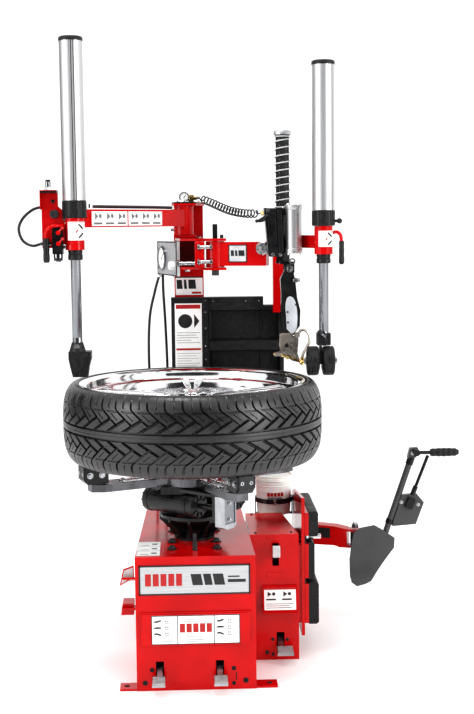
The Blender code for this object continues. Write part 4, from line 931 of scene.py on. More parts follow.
def pressure_gauge():
    """The round gauge on the column's top: rim, needle, ticks and face."""
    gauge = Piece("pressure_gauge_rim", "base", "print")
    dial = axes((-0.018, 0.4822, 1.4475), X, Z)
    gauge.lathe([(0.0172, -0.0265), (0.0172, 0.003), (0.0155, 0.004), (0.0142, 0.0028), (0.0142, 0.0008)],
                dial, steps=48)
    gauge.prism([(-0.001, -0.003), (0.001, -0.003), (0.0005, 0.0105), (-0.0005, 0.0105)], 0.0016, 0.0021,
                dial @ turned(radians(-38)))
    for tick in range(11):
        turn = dial @ turned(radians(130 - tick * 26))
        gauge.sheet((-0.0004, 0.0004), (0.0102, 0.0124), 0.0013, 0.0017, turn)
    gauge.done()
    face = Piece("pressure_gauge_face", "base", "white")
    face.lathe([(0.014, 0.0004), (0.014, 0.0013)], dial, steps=40)
    face.done()


def air_inlet():
    """Brass block, elbow and nuts beside the gauge."""
    fittings = Piece("air_inlet_fittings", "base", "brass")
    fittings.box((-0.004, 0.015), (0.489, 0.513), (1.4302, 1.455))
    fittings.rod((0.0055, 0.4895, 1.443), (0.0055, 0.474, 1.443), 0.0075, sides=6)
    fittings.rod((0.014, 0.5, 1.443), (0.024, 0.487, 1.444), 0.0062, sides=6)
    fittings.done(bevel=0.001)
    nuts = Piece("air_inlet_nuts", "base", "zinc")
    nuts.rod((-0.018, 0.5, 1.4302), (-0.018, 0.5, 1.436), 0.01, sides=6)
    nuts.rod((0.0235, 0.4875, 1.444), (0.031, 0.468, 1.445), 0.0052, sides=20)
    nuts.done(bevel=0.0008)


def column_label():
    """A white label on the column's front."""
    sign = Piece("column_label", "base", "white")
    sheet = front(0.505)
    sign.sheet((-0.051, 0.041), (1.116, 1.178), 0.0002, 0.0009, sheet)
    sign.done()
    shapes = Piece("column_label_print", "base", "print")
    sheet = front(0.5041)
    for x, w in ((-0.047, 0.02), (-0.022, 0.01), (-0.007, 0.026)):
        shapes.prism([(x, 1.137), (x + w, 1.137), (x + w - 0.003, 1.168), (x - 0.001, 1.168)], 0, INK,
                     sheet)
    shapes.sheet((-0.051, 0.041), (1.1745, 1.1785), 0, INK, sheet)
    shapes.done()
    band = Piece("column_label_band", "base", "red_print")
    band.sheet((0.004, 0.036), (1.12, 1.127), 0, INK, sheet)
    band.done()


def tool_board():
    dress("tool_board", "plastic", 0.003, segments=3)
    ledge = Piece("board_edges", "base", "plastic")
    place = front(0.455)
    ledge.sheet((0.04, 0.057), (0.752, 1.106), 0, 0.0045, place)
    ledge.sheet((0.062, 0.304), (0.929, 0.96), 0, 0.0035, place)
    for x in (0.062, 0.296):
        ledge.sheet((x, x + 0.006), (0.965, 1.064), 0, 0.003, place)
    for row in range(6):
        x = 0.085 + row * 0.038
        ledge.sheet((x, x + 0.02), (1.074, 1.08), 0, 0.0022, place)
    ledge.done(bevel=0.0012)
    inset = Piece("board_bay_backs", "base", "plastic")
    back = front(0.4895)
    for low, high in ((0.966, 1.062), (0.779, 0.924)):
        inset.sheet((0.068, 0.296), (low, high), 0, 0.0018, back)
        inset.sheet((0.235, 0.238), (low, high), 0, 0.006, back)
    inset.done(bevel=0.0008)
    screws = Piece("board_screws", "base", "zinc")
    for z in (0.9, 0.945, 1.005, 1.06, 1.098):
        screws.screw((0.0485, 0.4505, z), (0, -1, 0), 0.003)
    for x in (0.075, 0.185, 0.23):
        screws.screw((x, 0.455, 1.096), (0, -1, 0), 0.003)
    screws.done()
    board_label(place)


def board_label(place):
    """A tall white label with a disc, an arrowhead and bars in place of text."""
    Piece("board_label", "base", "white").sheet((-0.055, 0.036), (0.78, 1.09), 0.0002, 0.001, place).done()
    red = Piece("board_label_bands", "base", "red_print")
    sheet = front(0.4539)
    for low, high in ((1.072, 1.086), (0.931, 0.938)):
        red.sheet((-0.051, 0.032), (low, high), 0, INK, sheet)
    red.done()
    shapes = Piece("board_label_print", "base", "print")
    shapes.prism(around(-0.02, 1.03, 0.024, 28), 0, INK, sheet)
    shapes.prism([(0.01, 1.006), (0.028, 1.03), (0.01, 1.054)], 0, INK, sheet)
    shapes.done()
    lines = Piece("board_label_lines", "base", "grey_print")
    text_bars(lines, -0.049, 0.99, 0.078, 5, 0.0085, sheet)
    text_bars(lines, -0.049, 0.92, 0.078, 12, 0.0085, sheet, thick=0.0012)
    lines.done()


def bracket():
    dress("arm_bracket", "red", 0.0018)
    bolts = Piece("bracket_bolts", "base", "zinc")
    for z in (1.236, 1.283):
        bolts.rod((0.026, 0.2335, z), (0.066, 0.2335, z), 0.0065, sides=20)
        bolts.rod((0.0225, 0.2335, z), (0.03, 0.2335, z), 0.0105, sides=6)
        bolts.rod((0.062, 0.2335, z), (0.07, 0.2335, z), 0.0105, sides=6)
    bolts.rod((-0.04, 0.3, 1.23), (0.024, 0.29, 1.23), 0.0065, sides=20)
    bolts.rod((-0.044, 0.3006, 1.23), (-0.036, 0.2994, 1.23), 0.011, sides=6)
    bolts.bolt((-0.01, 0.36, 1.209), (0, 0, -1), 0.01, 0.007)
    for x in (0.03, -0.02):
        bolts.bolt((x, 0.46, 1.31), Z, 0.0085)
    bolts.done(bevel=0.0006)
    block = Piece("arm_stop_block", "base", "red")
    block.box((0.014, 0.044), (0.236, 0.262), (1.2175, 1.3015))
    block.done(bevel=0.003)
    pin = Piece("arm_lock_pin", "base", "black")
    pin.box((0.0722, 0.0878), (0.2622, 0.2778), (1.3105, 1.356))
    pin.rod((0.08, 0.27, 1.191), (0.08, 0.27, 1.2085), 0.0135, sides=6)
    pin.rod((0.101, 0.262, 1.3105), (0.101, 0.262, 1.322), 0.0065, sides=6)
    pin.done(bevel=0.001)


def helper_post():
    dress("helper_post", "red", 0.0022)
    caps = Piece("helper_post_bolts", "base", "zinc")
    caps.bolt((*HELPER_HINGE.xy, 1.334), Z, 0.0115, 0.007)
    for z in (1.046, 1.068):
        for y in (0.47, 0.52):
            caps.bolt((0.3255, y, z), X, 0.0065)
    caps.done()


def gauge_housing():
    """The slanted pneumatic panel: pale face, round dial, knob and lock nuts."""
    dress("gauge_housing", "grey", 0.0018)
    across = Vector((0.068, -0.194, 0.0)).normalized()
    outward = across.cross(Vector(Z))
    place = axes(Vector((-0.077, 0.425, 1.2435)) + outward * 0.0006, across, Z)
    plate = Piece("panel_face", "base", "panel")
    plate.sheet((-0.094, 0.094), (-0.052, 0.052), 0, 0.0012, place)
    plate.done(bevel=0.0004)
    dial = place @ at(-0.048, 0.0)
    ring = Piece("panel_dial_rim", "base", "rod")
    ring.lathe([(0.0415, 0.0), (0.0415, 0.0065), (0.0385, 0.008), (0.0355, 0.006), (0.0355, 0.002)], dial,
               steps=56)
    ring.prism([(-0.0016, -0.008), (0.0016, -0.008), (0.0008, 0.028), (-0.0008, 0.028)], 0.0036, 0.0044,
               dial @ turned(radians(-50)))
    for tick in range(13):
        turn = dial @ turned(radians(135 - tick * 22.5))
        ring.sheet((-0.0006, 0.0006), (0.027, 0.032), 0.003, 0.0036, turn)
    ring.done()
    face = Piece("panel_dial_face", "base", "white")
    face.lathe([(0.0352, 0.0014), (0.0352, 0.003)], dial, steps=48)
    face.done()
    knob = Piece("panel_knob", "base", "white")
    knob.lathe([(0.014, 0.001), (0.014, 0.014), (0.012, 0.017), (0.004, 0.018)], place @ at(0.07, -0.022),
               steps=32)
    knob.done(bevel=0.0008)
    rings = Piece("panel_screws", "base", "zinc")
    for x in (-0.086, 0.086):
        for z in (-0.044, 0.044):
            rings.screw(place @ Vector((x, z, 0.0012)), outward, 0.004)
    for x, y in ((-0.106, 0.5), (-0.06, 0.47)):
        rings.rod((x, y, 1.1868), (x, y, 1.179), 0.0082, sides=6)
    rings.done()
    lip = Piece("panel_edge_trim", "base", "print")
    outline_frame(lip, (-0.099, 0.099), (-0.0565, 0.0565), 0.0035, -0.004, 0.0022, place)
    lip.done()


# ---- towers -------------------------------------------------------------------------
def extruded_cylinder(name, body, node, tower, top, bottom, slots):
    """A drawn aluminium tube with sensor slots down its length, painted shade darkening each slot's floor,
    and its overhanging end cap.
    """
    outer, floor, half = 0.0347, 0.0312, 2.1
    slots = sorted([g % 360 for g in slots] + [(g + 180) % 360 for g in slots])
    profile = [(a, outer) for a in range(0, 360, 3) if all((abs(a - g) > half + 0.6 for g in slots))]
    for g in slots:
        profile += [(g - half, outer), (g - half + 0.01, floor), (g + half - 0.01, floor),
                    (g + half, outer)]
    profile.sort()
    rows = [[Vector((tower.x + r * cos(radians(a)), tower.y + r * sin(radians(a)), z)) for a, r in profile]
            for z in (bottom, top - 0.014)]
    Piece(f"{name}_tube", body, "aluminium").grid(rows).done(smooth=25, replaces=[node])
    # Painted shade: a near-black band on each slot's floor stands in for the shade in the groove.
    slot_floor_shade = Piece(f"{name}_slots", body, "hole")
    for g in slots:
        bend(slot_floor_shade, tower, floor, (bottom + 0.001, top - 0.0142), g, half - 0.12, 0.0027, steps=2)
    slot_floor_shade.done()
    cap = Piece(f"{name}_cap", body, "plastic")
    place = at(*tower.xy)
    cap.lathe([(0.035, top - 0.0142), (0.036, top - 0.0135), (0.036, top - 0.006), (0.0345, top - 0.0025),
               (0.03, top - 0.0005), (0.024, top), (0.006, top)], place, steps=56)
    cap.done()
    screws = Piece(f"{name}_cap_screws", body, "zinc")
    for x, y in around(*tower.xy, 0.02, 4, radians(45)):
        screws.screw((x, y, top - 0.0026), Z, 0.0035, 0.0022)
    screws.done()


def ribbed_collar(name, body, node, tower, top, shoulder, foot, end, radius):
    """The knurled black collar nut and the bush under the sleeve."""
    place = at(*tower.xy)
    steps = 144
    rows = []
    for z, inset in ((top, 0.002), (top - 0.002, 0.0), (shoulder + 0.003, 0.0), (shoulder, 0.002)):
        rows.append([Vector((tower.x + r * cos(a), tower.y + r * sin(a), z)) for a,
                     r in ((2 * pi * i / steps, radius - inset - (0.0016 if i % 6 < 2 else 0.0))
                           for i in range(steps))])
    Piece(f"{name}_nut", body, "plastic").grid(rows).done(smooth=28, replaces=[node])
    bush = Piece(f"{name}_bush", body, "plastic")
    bush.lathe([(0.0158, foot), (0.0215, foot), (0.022, foot - 0.004), (0.0205, foot - 0.012),
                (0.022, foot - 0.014), (0.022, end + 0.002), (0.02, end), (0.0158, end)], place, steps=48,
               closed=True)
    bush.done()


def beam_side(start, end, offset):
    """Placement beside a level beam: X runs from its start to its end, Y is up."""
    direction = (end - start).normalized()
    return axes(start + direction.cross(Vector(Z)) * offset, direction, Z)


def beam_label(name, body, place, z, spans, count):
    """White strips on a beam's side, each with a row of grey pictograms."""
    strip = Piece(f"{name}_strips", body, "white")
    marks = Piece(f"{name}_marks", body, "grey_print")
    for low, high in spans:
        strip.sheet((low, high), z, 0.0001, 0.0008, place)
        cell = (high - low) / count
        size = min(cell * 0.72, (z[1] - z[0]) * 0.9)
        for number in range(count):
            x = low + cell * (number + 0.5) - size / 2
            arrows(marks, x, z[0] + (z[1] - z[0]) * 0.1, size, place @ at(0, 0, 0.0008))
    strip.done()
    marks.done()


def bend(piece, tower, radius, z, middle, spread, thick=0.0009, steps=20):
    """A band bent round a tower, either side of a middle angle in degrees."""
    angles = [radians(middle - spread + 2 * spread * i / steps) for i in range(steps + 1)]
    rows = [[Vector((tower.x + r * cos(a), tower.y + r * sin(a), h)) for r,
             h in ((radius, z[0]), (radius + thick, z[0]), (radius + thick, z[1]), (radius, z[1]))]
            for a in angles]
    piece.grid(rows)


def stroke(piece, tower, radius, middle, start, end, width, thick=0.0006):
    """A printed line bent round a tower; its ends are (sideways, height) from the middle angle."""
    start, end = Vector(start), Vector(end)
    across = Vector((start.y - end.y, end.x - start.x)).normalized() * width / 2
    rows = []
    for i in range(9):
        point = start.lerp(end, i / 8)
        row = []
        for edge, r in ((across, radius), (across, radius + thick), (-across, radius + thick),
                        (-across, radius)):
            angle = radians(middle) + (point + edge).x / radius
            row.append(Vector((tower.x + r * cos(angle), tower.y + r * sin(angle), (point + edge).y)))
        rows.append(row)
    piece.grid(rows)


def sleeve_label(name, body, tower, radius, z, middle, spread):
    """A white label round a sleeve: bold arrow, a small red mark and lines in place of text."""
    sheet = Piece(f"{name}_label", body, "white")
    bend(sheet, tower, radius, z, middle, spread)
    sheet.done(smooth=50)
    face, centre, half = radius + 0.0009, (z[0] + z[1]) / 2, (z[1] - z[0]) / 2
    arrow = Piece(f"{name}_arrow", body, "print")
    for side in (-1, 1):
        stroke(arrow, tower, face, middle, (0.001, centre + side * half * 0.74),
               (0.0165, centre + side * half * 0.24), 0.0058)
    stroke(arrow, tower, face, middle, (-0.0225, z[1] - 0.003), (0.0225, z[1] - 0.003), 0.0012)
    arrow.done()
    lines = Piece(f"{name}_lines", body, "grey_print")
    for row in range(6):
        height = centre + half * 0.62 - row * half * 0.26
        stroke(lines, tower, face, middle, (-0.0215, height), (-0.0085 - 0.002 * (row % 2), height), 0.0011)
    lines.done()
    mark = Piece(f"{name}_mark", body, "red_print")
    stroke(mark, tower, face, middle, (-0.006, centre - 0.005), (-0.001, centre + 0.005), 0.004)
    mark.done()


def rod_skin(name, body, tower, top):
    """A ground surface just proud of a rod's facets, from its fitting up into the cylinder."""
    skin = Piece(name, body, "rod")
    skin.lathe([(ROD_R - 0.0002, 1.02), (ROD_R + 0.00012, 1.0205), (ROD_R + 0.00012, top - 0.001),
                (ROD_R - 0.0006, top - 0.0002)], at(*tower.xy), steps=72)
    skin.done()


def left_tower():
    dress("left_arm", "red", 0.0022)
    extruded_cylinder("left_cylinder", "left_helper", "left_cylinder", LEFT_TOWER, 1.91, 1.4303, (275, 287))
    ribbed_collar("left_collar", "left_helper", "left_collar", LEFT_TOWER, 1.4297, 1.3783, 1.2827, 1.253,
                  0.0365)
    dress("left_rod", "rod", 0.0)
    rod_skin("left_rod_surface", "left_press_rod", LEFT_TOWER, 1.619)
    dress("left_press", "plastic", 0.0025)
    beam_label("left_beam_label", "left_helper", beam_side(LEFT_TOWER, LEFT_HINGE, 0.0225), (1.354, 1.398),
               ((0.052, 0.221), (0.227, 0.398)), 3)
    sleeve_label("left_sleeve", "left_helper", LEFT_TOWER, 0.0286, (1.312, 1.367), 295, 65)


def left_fittings():
    """The left arm's hub rings and bolts, and the face of its press block."""
    rings = Piece("left_hub_rings", "left_helper", "red")
    place = at(*LEFT_HINGE.xy)
    for low, high in ((1.3212, 1.3262), (1.4115, 1.4165)):
        rings.lathe([(0.0325, high), (0.035, high), (0.035, low), (0.0325, low)], place, closed=True)
    rings.done(bevel=0.0008)
    band = Piece("left_sleeve_bolts", "left_helper", "zinc")
    for z in (1.374, 1.292):
        band.bolt((LEFT_TOWER.x - 0.028, LEFT_TOWER.y, z), (-1, 0, 0), 0.0058)
    band.rod((LEFT_HINGE.x - 0.033, LEFT_HINGE.y - 0.012, 1.338),
             (LEFT_HINGE.x - 0.042, LEFT_HINGE.y - 0.016, 1.338), 0.0045, sides=12)
    band.done()
    foot = Piece("left_press_face", "left_press_rod", "plastic")
    x = LEFT_TOWER.x + 0.008
    foot.prism([(x - 0.026, 0.972), (x + 0.024, 0.972), (x + 0.02, 0.93), (x + 0.014, 0.912),
                (x - 0.014, 0.912), (x - 0.021, 0.936)], 0, 0.0025, front(-0.025))
    for top_left, top_right, low_right, low_left in ((-0.018, -0.003, -0.005, -0.014),
                                                     (0.002, 0.017, 0.012, 0.001)):
        foot.prism([(x + top_left, 0.964), (x + top_right, 0.964), (x + low_right, 0.93),
                    (x + low_left, 0.93)], 0.0025, 0.005, front(-0.025))
    foot.done(bevel=0.0012)
    pin = Piece("left_press_bolt", "left_press_rod", "zinc")
    pin.bolt((LEFT_TOWER.x, -0.019, 0.993), (0, -1, 0), 0.006)
    pin.done()


def hand_valve():
    """The hand valve's body and the bracket it hangs on."""
    dress("valve_unit", "black", 0.0012)
    bracket_cover = Piece("valve_bracket_skin", "left_helper", "red")
    bracket_cover.box((-0.4425, -0.3935), (0.0062, 0.0082), (1.2895, 1.4595))
    bracket_cover.prism([(-0.4425, 1.2895), (-0.395, 1.2895), (-0.374, 1.302), (-0.374, 1.396),
                         (-0.3935, 1.414), (-0.3935, 1.4595), (-0.4425, 1.4595)], 0.0001, 0.0012,
                        front(0.0))
    bracket_cover.box((-0.4425, -0.3935), (-0.031, 0.0084), (1.4592, 1.4612))
    bracket_cover.box((-0.444, -0.4426), (-0.031, 0.0084), (1.404, 1.4612))
    bracket_cover.box((-0.3935, -0.3745), (-0.0065, -0.006), (1.3, 1.36))
    bracket_cover.done(bevel=0.001)


def valve_parts():
    """Fittings, knob, tube, grip, plates and toggles of the hand valve."""
    fittings = Piece("valve_fittings", "left_helper", "rod")
    fittings.rod((-0.42, -0.014, 1.4612), (-0.42, -0.014, 1.47), 0.012, sides=6)
    fittings.rod((-0.42, -0.014, 1.47), (-0.42, -0.014, 1.486), 0.008, sides=24)
    fittings.rod((-0.42, -0.014, 1.484), (-0.42, -0.014, 1.492), 0.0058, sides=24)
    fittings.rod((-0.3945, -0.016, 1.272), (-0.3945, -0.016, 1.26), 0.0138, sides=28)
    fittings.rod((-0.3945, -0.016, 1.26), (-0.3945, -0.016, 1.248), 0.011, sides=28, end_radius=0.007)
    fittings.rod((-0.431, 0.008, 1.412), (-0.4424, 0.0096, 1.412), 0.0068, sides=6)
    fittings.rod((-0.415, -0.0095, 1.3035), (-0.4466, -0.0062, 1.302), 0.006, sides=6)
    fittings.rod((-0.408, 0.0, 1.4285), (-0.408, -0.006, 1.4285), 0.006, sides=6)
    fittings.done(bevel=0.0007)
    knob = Piece("valve_knob", "left_helper", "print")
    place = axes((-0.402, -0.033, 1.39), X, Z)
    knob.lathe([(0.0125, -0.008), (0.013, 0.002), (0.011, 0.006), (0.004, 0.0065)], place, steps=32)
    for number in range(12):
        turn = place @ turned(number * pi / 6)
        knob.box((0.0122, 0.0138), (-0.0012, 0.0012), (-0.007, 0.002), turn)
    knob.done(bevel=0.0005)
    tube = Piece("valve_bent_tube", "left_helper", "red")
    tube.sweep(smooth_route([(-0.374, -0.004, 1.355), (-0.39, -0.03, 1.356), (-0.41, -0.04, 1.354),
                             (-0.424, -0.036, 1.343), (-0.429, -0.026, 1.328), (-0.429, -0.02, 1.314)],
                            0.003), 0.005, 12)
    tube.done()
    sleeve = Piece("valve_handle_grip", "left_helper", "rubber")
    sleeve.lathe([(0.009, 1.3185), (0.0098, 1.312), (0.0088, 1.3), (0.0098, 1.29), (0.0088, 1.278),
                  (0.0098, 1.266), (0.0096, 1.252), (0.007, 1.2465)], at(-0.429, -0.02), steps=32)
    sleeve.done()
    plate = Piece("valve_face_plate", "left_helper", "black")
    plate.sheet((-0.408, -0.381), (1.28, 1.345), 0.0001, 0.0008, front(-0.032))
    plate.done()
    sticker = Piece("valve_bracket_label", "left_helper", "white")
    sticker.sheet((-0.438, -0.414), (1.422, 1.446), 0.0002, 0.0008, front(-0.0002))
    sticker.done()
    for number, z in ((1, 1.335), (2, 1.303)):
        dress(f"valve_toggle_{number}", "red", 0.0006)
        tip = Piece(f"toggle_{number}_knob", f"toggle_{number}", "red_print")
        tip.ball((-0.3782, -0.0444, z + 0.0138), 0.0048)
        tip.done()


# ---- mounting tool ------------------------------------------------------------------
def mounting_tool():
    dress("tool_arm", "red", 0.0022)
    dress("tool_housing", "black", 0.002)
    dress("tool_column", "black", 0.001)
    dress("tool_knuckle", "cast", 0.0012)
    arm_plate()
    housing()
    lock_parts()
    column_top()
    spring()


def arm_plate():
    """The pale plate and the round cap on the mounting arm."""
    plate_place = beam_side(TOOL_HINGE, Vector((0.246, 0.224, 0)), 0.0226)
    plate = Piece("arm_plate", "mounting_arm", "grey")
    plate.sheet((0.052, 0.108), (1.236, 1.288), 0, 0.0012, plate_place)
    plate.done()
    border = Piece("arm_plate_border", "mounting_arm", "print")
    outline_frame(border, (0.05, 0.11), (1.234, 1.29), 0.003, 0, 0.0018, plate_place)
    for x, w in ((0.058, 0.011), (0.072, 0.008), (0.083, 0.02)):
        border.prism([(x, 1.254), (x + w, 1.254), (x + w - 0.002, 1.272), (x - 0.001, 1.272)], 0.0012,
                     0.0016, plate_place)
    border.done()
    disc = Piece("arm_round_cap", "mounting_arm", "zinc")
    disc.lathe([(0.0205, 0.0), (0.0205, 0.003), (0.018, 0.005), (0.004, 0.0055)],
               plate_place @ at(0.16, 1.278), steps=40)
    disc.done()


def housing():
    """The lock housing's raised covers and bolts."""
    body = Piece("housing_cover", "mounting_arm", "black")
    body.prism([(0.238, 1.392), (0.268, 1.39), (0.272, 1.29), (0.252, 1.284)], 0, 0.0035, front(0.1518))
    body.prism([(0.272, 1.398), (0.286, 1.397), (0.291, 1.268), (0.278, 1.262)], 0, 0.005, front(0.1518))
    body.done(bevel=0.0018)
    hardware = Piece("housing_bolts", "mounting_arm", "zinc")
    for x, z in ((0.243, 1.398), (0.282, 1.2585), (0.258, 1.259)):
        hardware.bolt((x, 0.152, z), (0, -1, 0), 0.0045, 0.0035)
    for x in (0.265, 0.322):
        for z in (1.275, 1.392):
            hardware.screw((x, 0.262, z), Y, 0.0045)
    for x, y in around(*TOOL_AIR.xy, 0.0235, 4, radians(45)):
        hardware.rod((x, y, 1.4135), (x, y, 1.4185), 0.004, sides=6)
        hardware.rod((x, y, 1.2625), (x, y, 1.2575), 0.004, sides=6)
    for x, y in around(*TOOL_AXIS.xy, 0.0265, 4):
        hardware.rod((x, y, 1.4035), (x, y, 1.408), 0.0035, sides=6)
    hardware.done()


def lock_parts():
    """Lock cylinder, its lever and its air fitting."""
    air = Piece("lock_cylinder_tube", "mounting_arm", "aluminium")
    place = at(*TOOL_AIR.xy)
    air.lathe([(0.02, 1.4142), (0.0262, 1.4142), (0.0278, 1.4125), (0.0278, 1.401), (0.0268, 1.399),
               (0.0252, 1.3985), (0.0252, 1.2775), (0.0268, 1.277), (0.0278, 1.275), (0.0278, 1.263),
               (0.0262, 1.2618), (0.02, 1.2618)], place, steps=64)
    air.done(smooth=30, replaces=["tool_air_cylinder"])
    lever = Piece("lock_lever", "mounting_arm", "black")
    lever.sweep(smooth_route([(0.246, 0.155, 1.385), (0.238, 0.149, 1.38), (0.228, 0.147, 1.366),
                              (0.209, 0.145, 1.364)], 0.002), 0.0045, 12)
    lever.ball((0.208, 0.145, 1.364), 0.0055)
    lever.box((0.236, 0.262), (0.215, 0.247), (1.378, 1.402))
    lever.done()
    knob = Piece("housing_air_fitting", "mounting_arm", "brass")
    knob.rod((0.2295, 0.245, 1.389), (0.24, 0.237, 1.389), 0.007, sides=6)
    knob.done()


def column_top():
    """The mounting column's cap, pivot ring and scale marks."""
    cap = Piece("column_cap", "mounting_column", "aluminium")
    cap.lathe([(0.0282, 1.6345), (0.0282, 1.644), (0.0262, 1.648), (0.02, 1.6495), (0.006, 1.6495)],
              at(*TOOL_AXIS.xy), steps=48)
    cap.done()
    marks = Piece("column_scale", "mounting_column", "zinc")
    marks.lathe([(0.006, -0.002), (0.01, -0.002), (0.01, 0.002), (0.006, 0.002)],
                axes((0.322, 0.1865, 1.236), X, Z), steps=24, closed=True)
    for step in range(20):
        z = 1.415 + step * 0.0108
        for side in (-1, 1):
            turn = at(*TOOL_AXIS.xy, z) @ turned(side * pi / 4)
            marks.box((-0.0005, 0.0005), (-0.0156, -0.0148), (0.0, 0.0045), turn)
    marks.done()


def spring():
    """The return spring, eleven turns between the housing and the cap."""
    turns, low, high = 11, 1.4075, 1.6295
    points = []
    for i in range(turns * 28 + 1):
        share = i / (turns * 28)
        angle = 2 * pi * turns * share
        eased = min(1.0, max(0.0, (share * turns - 0.75) / (turns - 1.5)))
        points.append((TOOL_AXIS.x + 0.024 * cos(angle), TOOL_AXIS.y + 0.024 * sin(angle),
                       low + (high - low) * eased))
    coil = Piece("return_spring", None, "grey")
    coil.sweep(points, 0.0021, 8)
    item = coil.done(smooth=60)
    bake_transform(item)
    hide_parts("tool_spring")


def mounting_head():
    dress("tool_lever", "cast", 0.004, segments=3)
    dress("mounting_head", "head", 0.0022)
    dress("bead_hook", "head", 0.0)
    cover = Piece("lever_side_cover", "mounting_lever", "cover")
    loop = [(0.304, 1.02), (0.302, 1.06), (0.3, 1.095), (0.306, 1.12), (0.318, 1.124), (0.33, 1.112),
            (0.337, 1.08), (0.338, 1.045), (0.334, 1.018), (0.32, 1.006)]
    route = smooth_route([(x, z, 0) for x, z in loop + loop[:1]], 0.004)[:-1]
    cover.prism([(p.x, p.y) for p in route], 0, 0.004, front(0.198))
    cover.done(bevel=0.0014)
    screws = Piece("lever_cover_screws", "mounting_lever", "print")
    for x, z in ((0.3065, 1.075), (0.3075, 1.042), (0.334, 1.098)):
        screws.screw((x, 0.1942, z), (0, -1, 0), 0.0032, 0.002)
    screws.done()


def head_parts():
    """The head"s bolts, side plates, tips and painted shade in its bore, and the hook"s tip."""
    bolts = Piece("head_bolts", "mounting_lever", "zinc")
    for y, side in ((0.183, -1), (0.247, 1)):
        bolts.bolt((0.313, y, 1.214), (0, side, 0), 0.009, 0.006)
    bolts.rod((0.333, 0.183, 1.176), (0.333, 0.2, 1.176), 0.0075, sides=20)
    bolts.rod((0.324, 0.189, 1.176), (0.346, 0.189, 1.176), 0.0055, sides=16)
    for x, z in ((0.326, 0.996), (0.297, 0.999)):
        bolts.screw((x, 0.1968, z), (0, -1, 0), 0.005)
    bolts.done()
    cheeks = Piece("head_side_plates", "mounting_lever", "head")
    cheeks.prism([(0.281, 1.006), (0.318, 1.006), (0.326, 0.968), (0.318, 0.936), (0.288, 0.941),
                  (0.279, 0.968)], 0, 0.006, front(0.1972))
    cheeks.prism([(0.32, 0.992), (0.341, 0.986), (0.338, 0.94), (0.33, 0.93), (0.322, 0.95)], 0, 0.004,
                 front(0.1972))
    cheeks.done(bevel=0.0018)
    # Painted shade: a near-black disc stands in for the shade inside the bore.
    hole = Piece("head_bore_shade", "mounting_lever", "hole")
    hole.rod((0.303, 0.1915, 0.968), (0.303, 0.1908, 0.968), 0.0068, sides=28)
    hole.done()
    tips = Piece("head_tips", "mounting_lever", "brass")
    tips.sweep(smooth_route([(0.264, 0.212, 0.9385), (0.278, 0.204, 0.9375), (0.296, 0.199, 0.9345),
                             (0.31, 0.196, 0.926)], 0.003), 0.0052, 12)
    tips.box((0.286, 0.348), (0.1935, 0.1985), (-0.004, 0.004), at(0, 0, 0.9285) @ at(0.317, 0)
             @ Matrix.Rotation(radians(24), 4, "Y") @ at(-0.317, 0))
    tips.done(bevel=0.001)
    ball_tip = Piece("hook_tip", "lifting_hook", "brass")
    ball_tip.ball((0.352, 0.19, 0.9135), 0.0088)
    ball_tip.rod((0.352, 0.19, 0.92), (0.3524, 0.19, 0.93), 0.0062, sides=6)
    ball_tip.done()


# ---- right helper -------------------------------------------------------------------
def right_tower():
    dress("helper_arm", "red", 0.002)
    extruded_cylinder("right_cylinder", "right_helper", "right_cylinder", RIGHT_TOWER, 1.85, 1.3953,
                      (294, 315))
    ribbed_collar("right_collar", "right_helper", "right_collar", RIGHT_TOWER, 1.3947, 1.3473, 1.2597,
                  1.232, 0.036)
    dress("right_rod", "rod", 0.0)
    rod_skin("right_rod_surface", "right_press_rod", RIGHT_TOWER, 1.559)
    sleeve_label("right_sleeve", "right_helper", RIGHT_TOWER, 0.0286, (1.283, 1.332), 289, 56)


def right_handle():
    """The bent handle with its grip, and the lock knob."""
    x, y = RIGHT_TOWER.xy
    handle = Piece("tower_handle", "right_helper", "red")
    handle.sweep(smooth_route([(x + 0.022, y - 0.006, 1.324), (x + 0.04, y - 0.008, 1.328),
                               (x + 0.052, y - 0.008, 1.318), (x + 0.055, y - 0.008, 1.298)], 0.004),
                 0.0052, 14)
    handle.done()
    grip = Piece("tower_handle_grip", "right_helper", "rubber")
    grip.lathe([(0.007, 1.3), (0.0084, 1.296), (0.0076, 1.284), (0.0084, 1.272), (0.0078, 1.258),
                (0.0086, 1.246), (0.0084, 1.234), (0.005, 1.228)], at(x + 0.0552, y - 0.008), steps=28)
    grip.done()
    knob = Piece("tower_lock_knob", "right_helper", "plastic")
    knob.rod((x + 0.034, y - 0.004, 1.362), (x + 0.043, y - 0.005, 1.362), 0.0045, sides=16)
    knob.ball((x + 0.049, y - 0.006, 1.362), 0.0085)
    knob.done()


def right_fork():
    """The fork that carries the press rollers."""
    x, y = RIGHT_TOWER.xy
    hardware = Piece("right_fork_bolts", "right_press_rod", "zinc")
    for side in (-1, 1):
        hardware.bolt((ROLLER.x + side * 0.0458, y, ROLLER.z), (side, 0, 0), 0.0085, 0.005)
    hardware.done()
    fork = Piece("right_fork_cover", "right_press_rod", "plastic")
    fork.box((x - 0.0225, x + 0.02), (y - 0.019, y + 0.019), (0.9785, 1.0155))
    fork.box((ROLLER.x - 0.0038, ROLLER.x + 0.0038), (y - 0.015, y + 0.015), (ROLLER.z - 0.01, 0.979))
    fork.rod((x - 0.004, y - 0.019, 1.004), (x - 0.014, y - 0.034, 1.018), 0.0045, sides=14)
    fork.ball((x - 0.0165, y - 0.0365, 1.0195), 0.008)
    fork.done(bevel=0.0015)


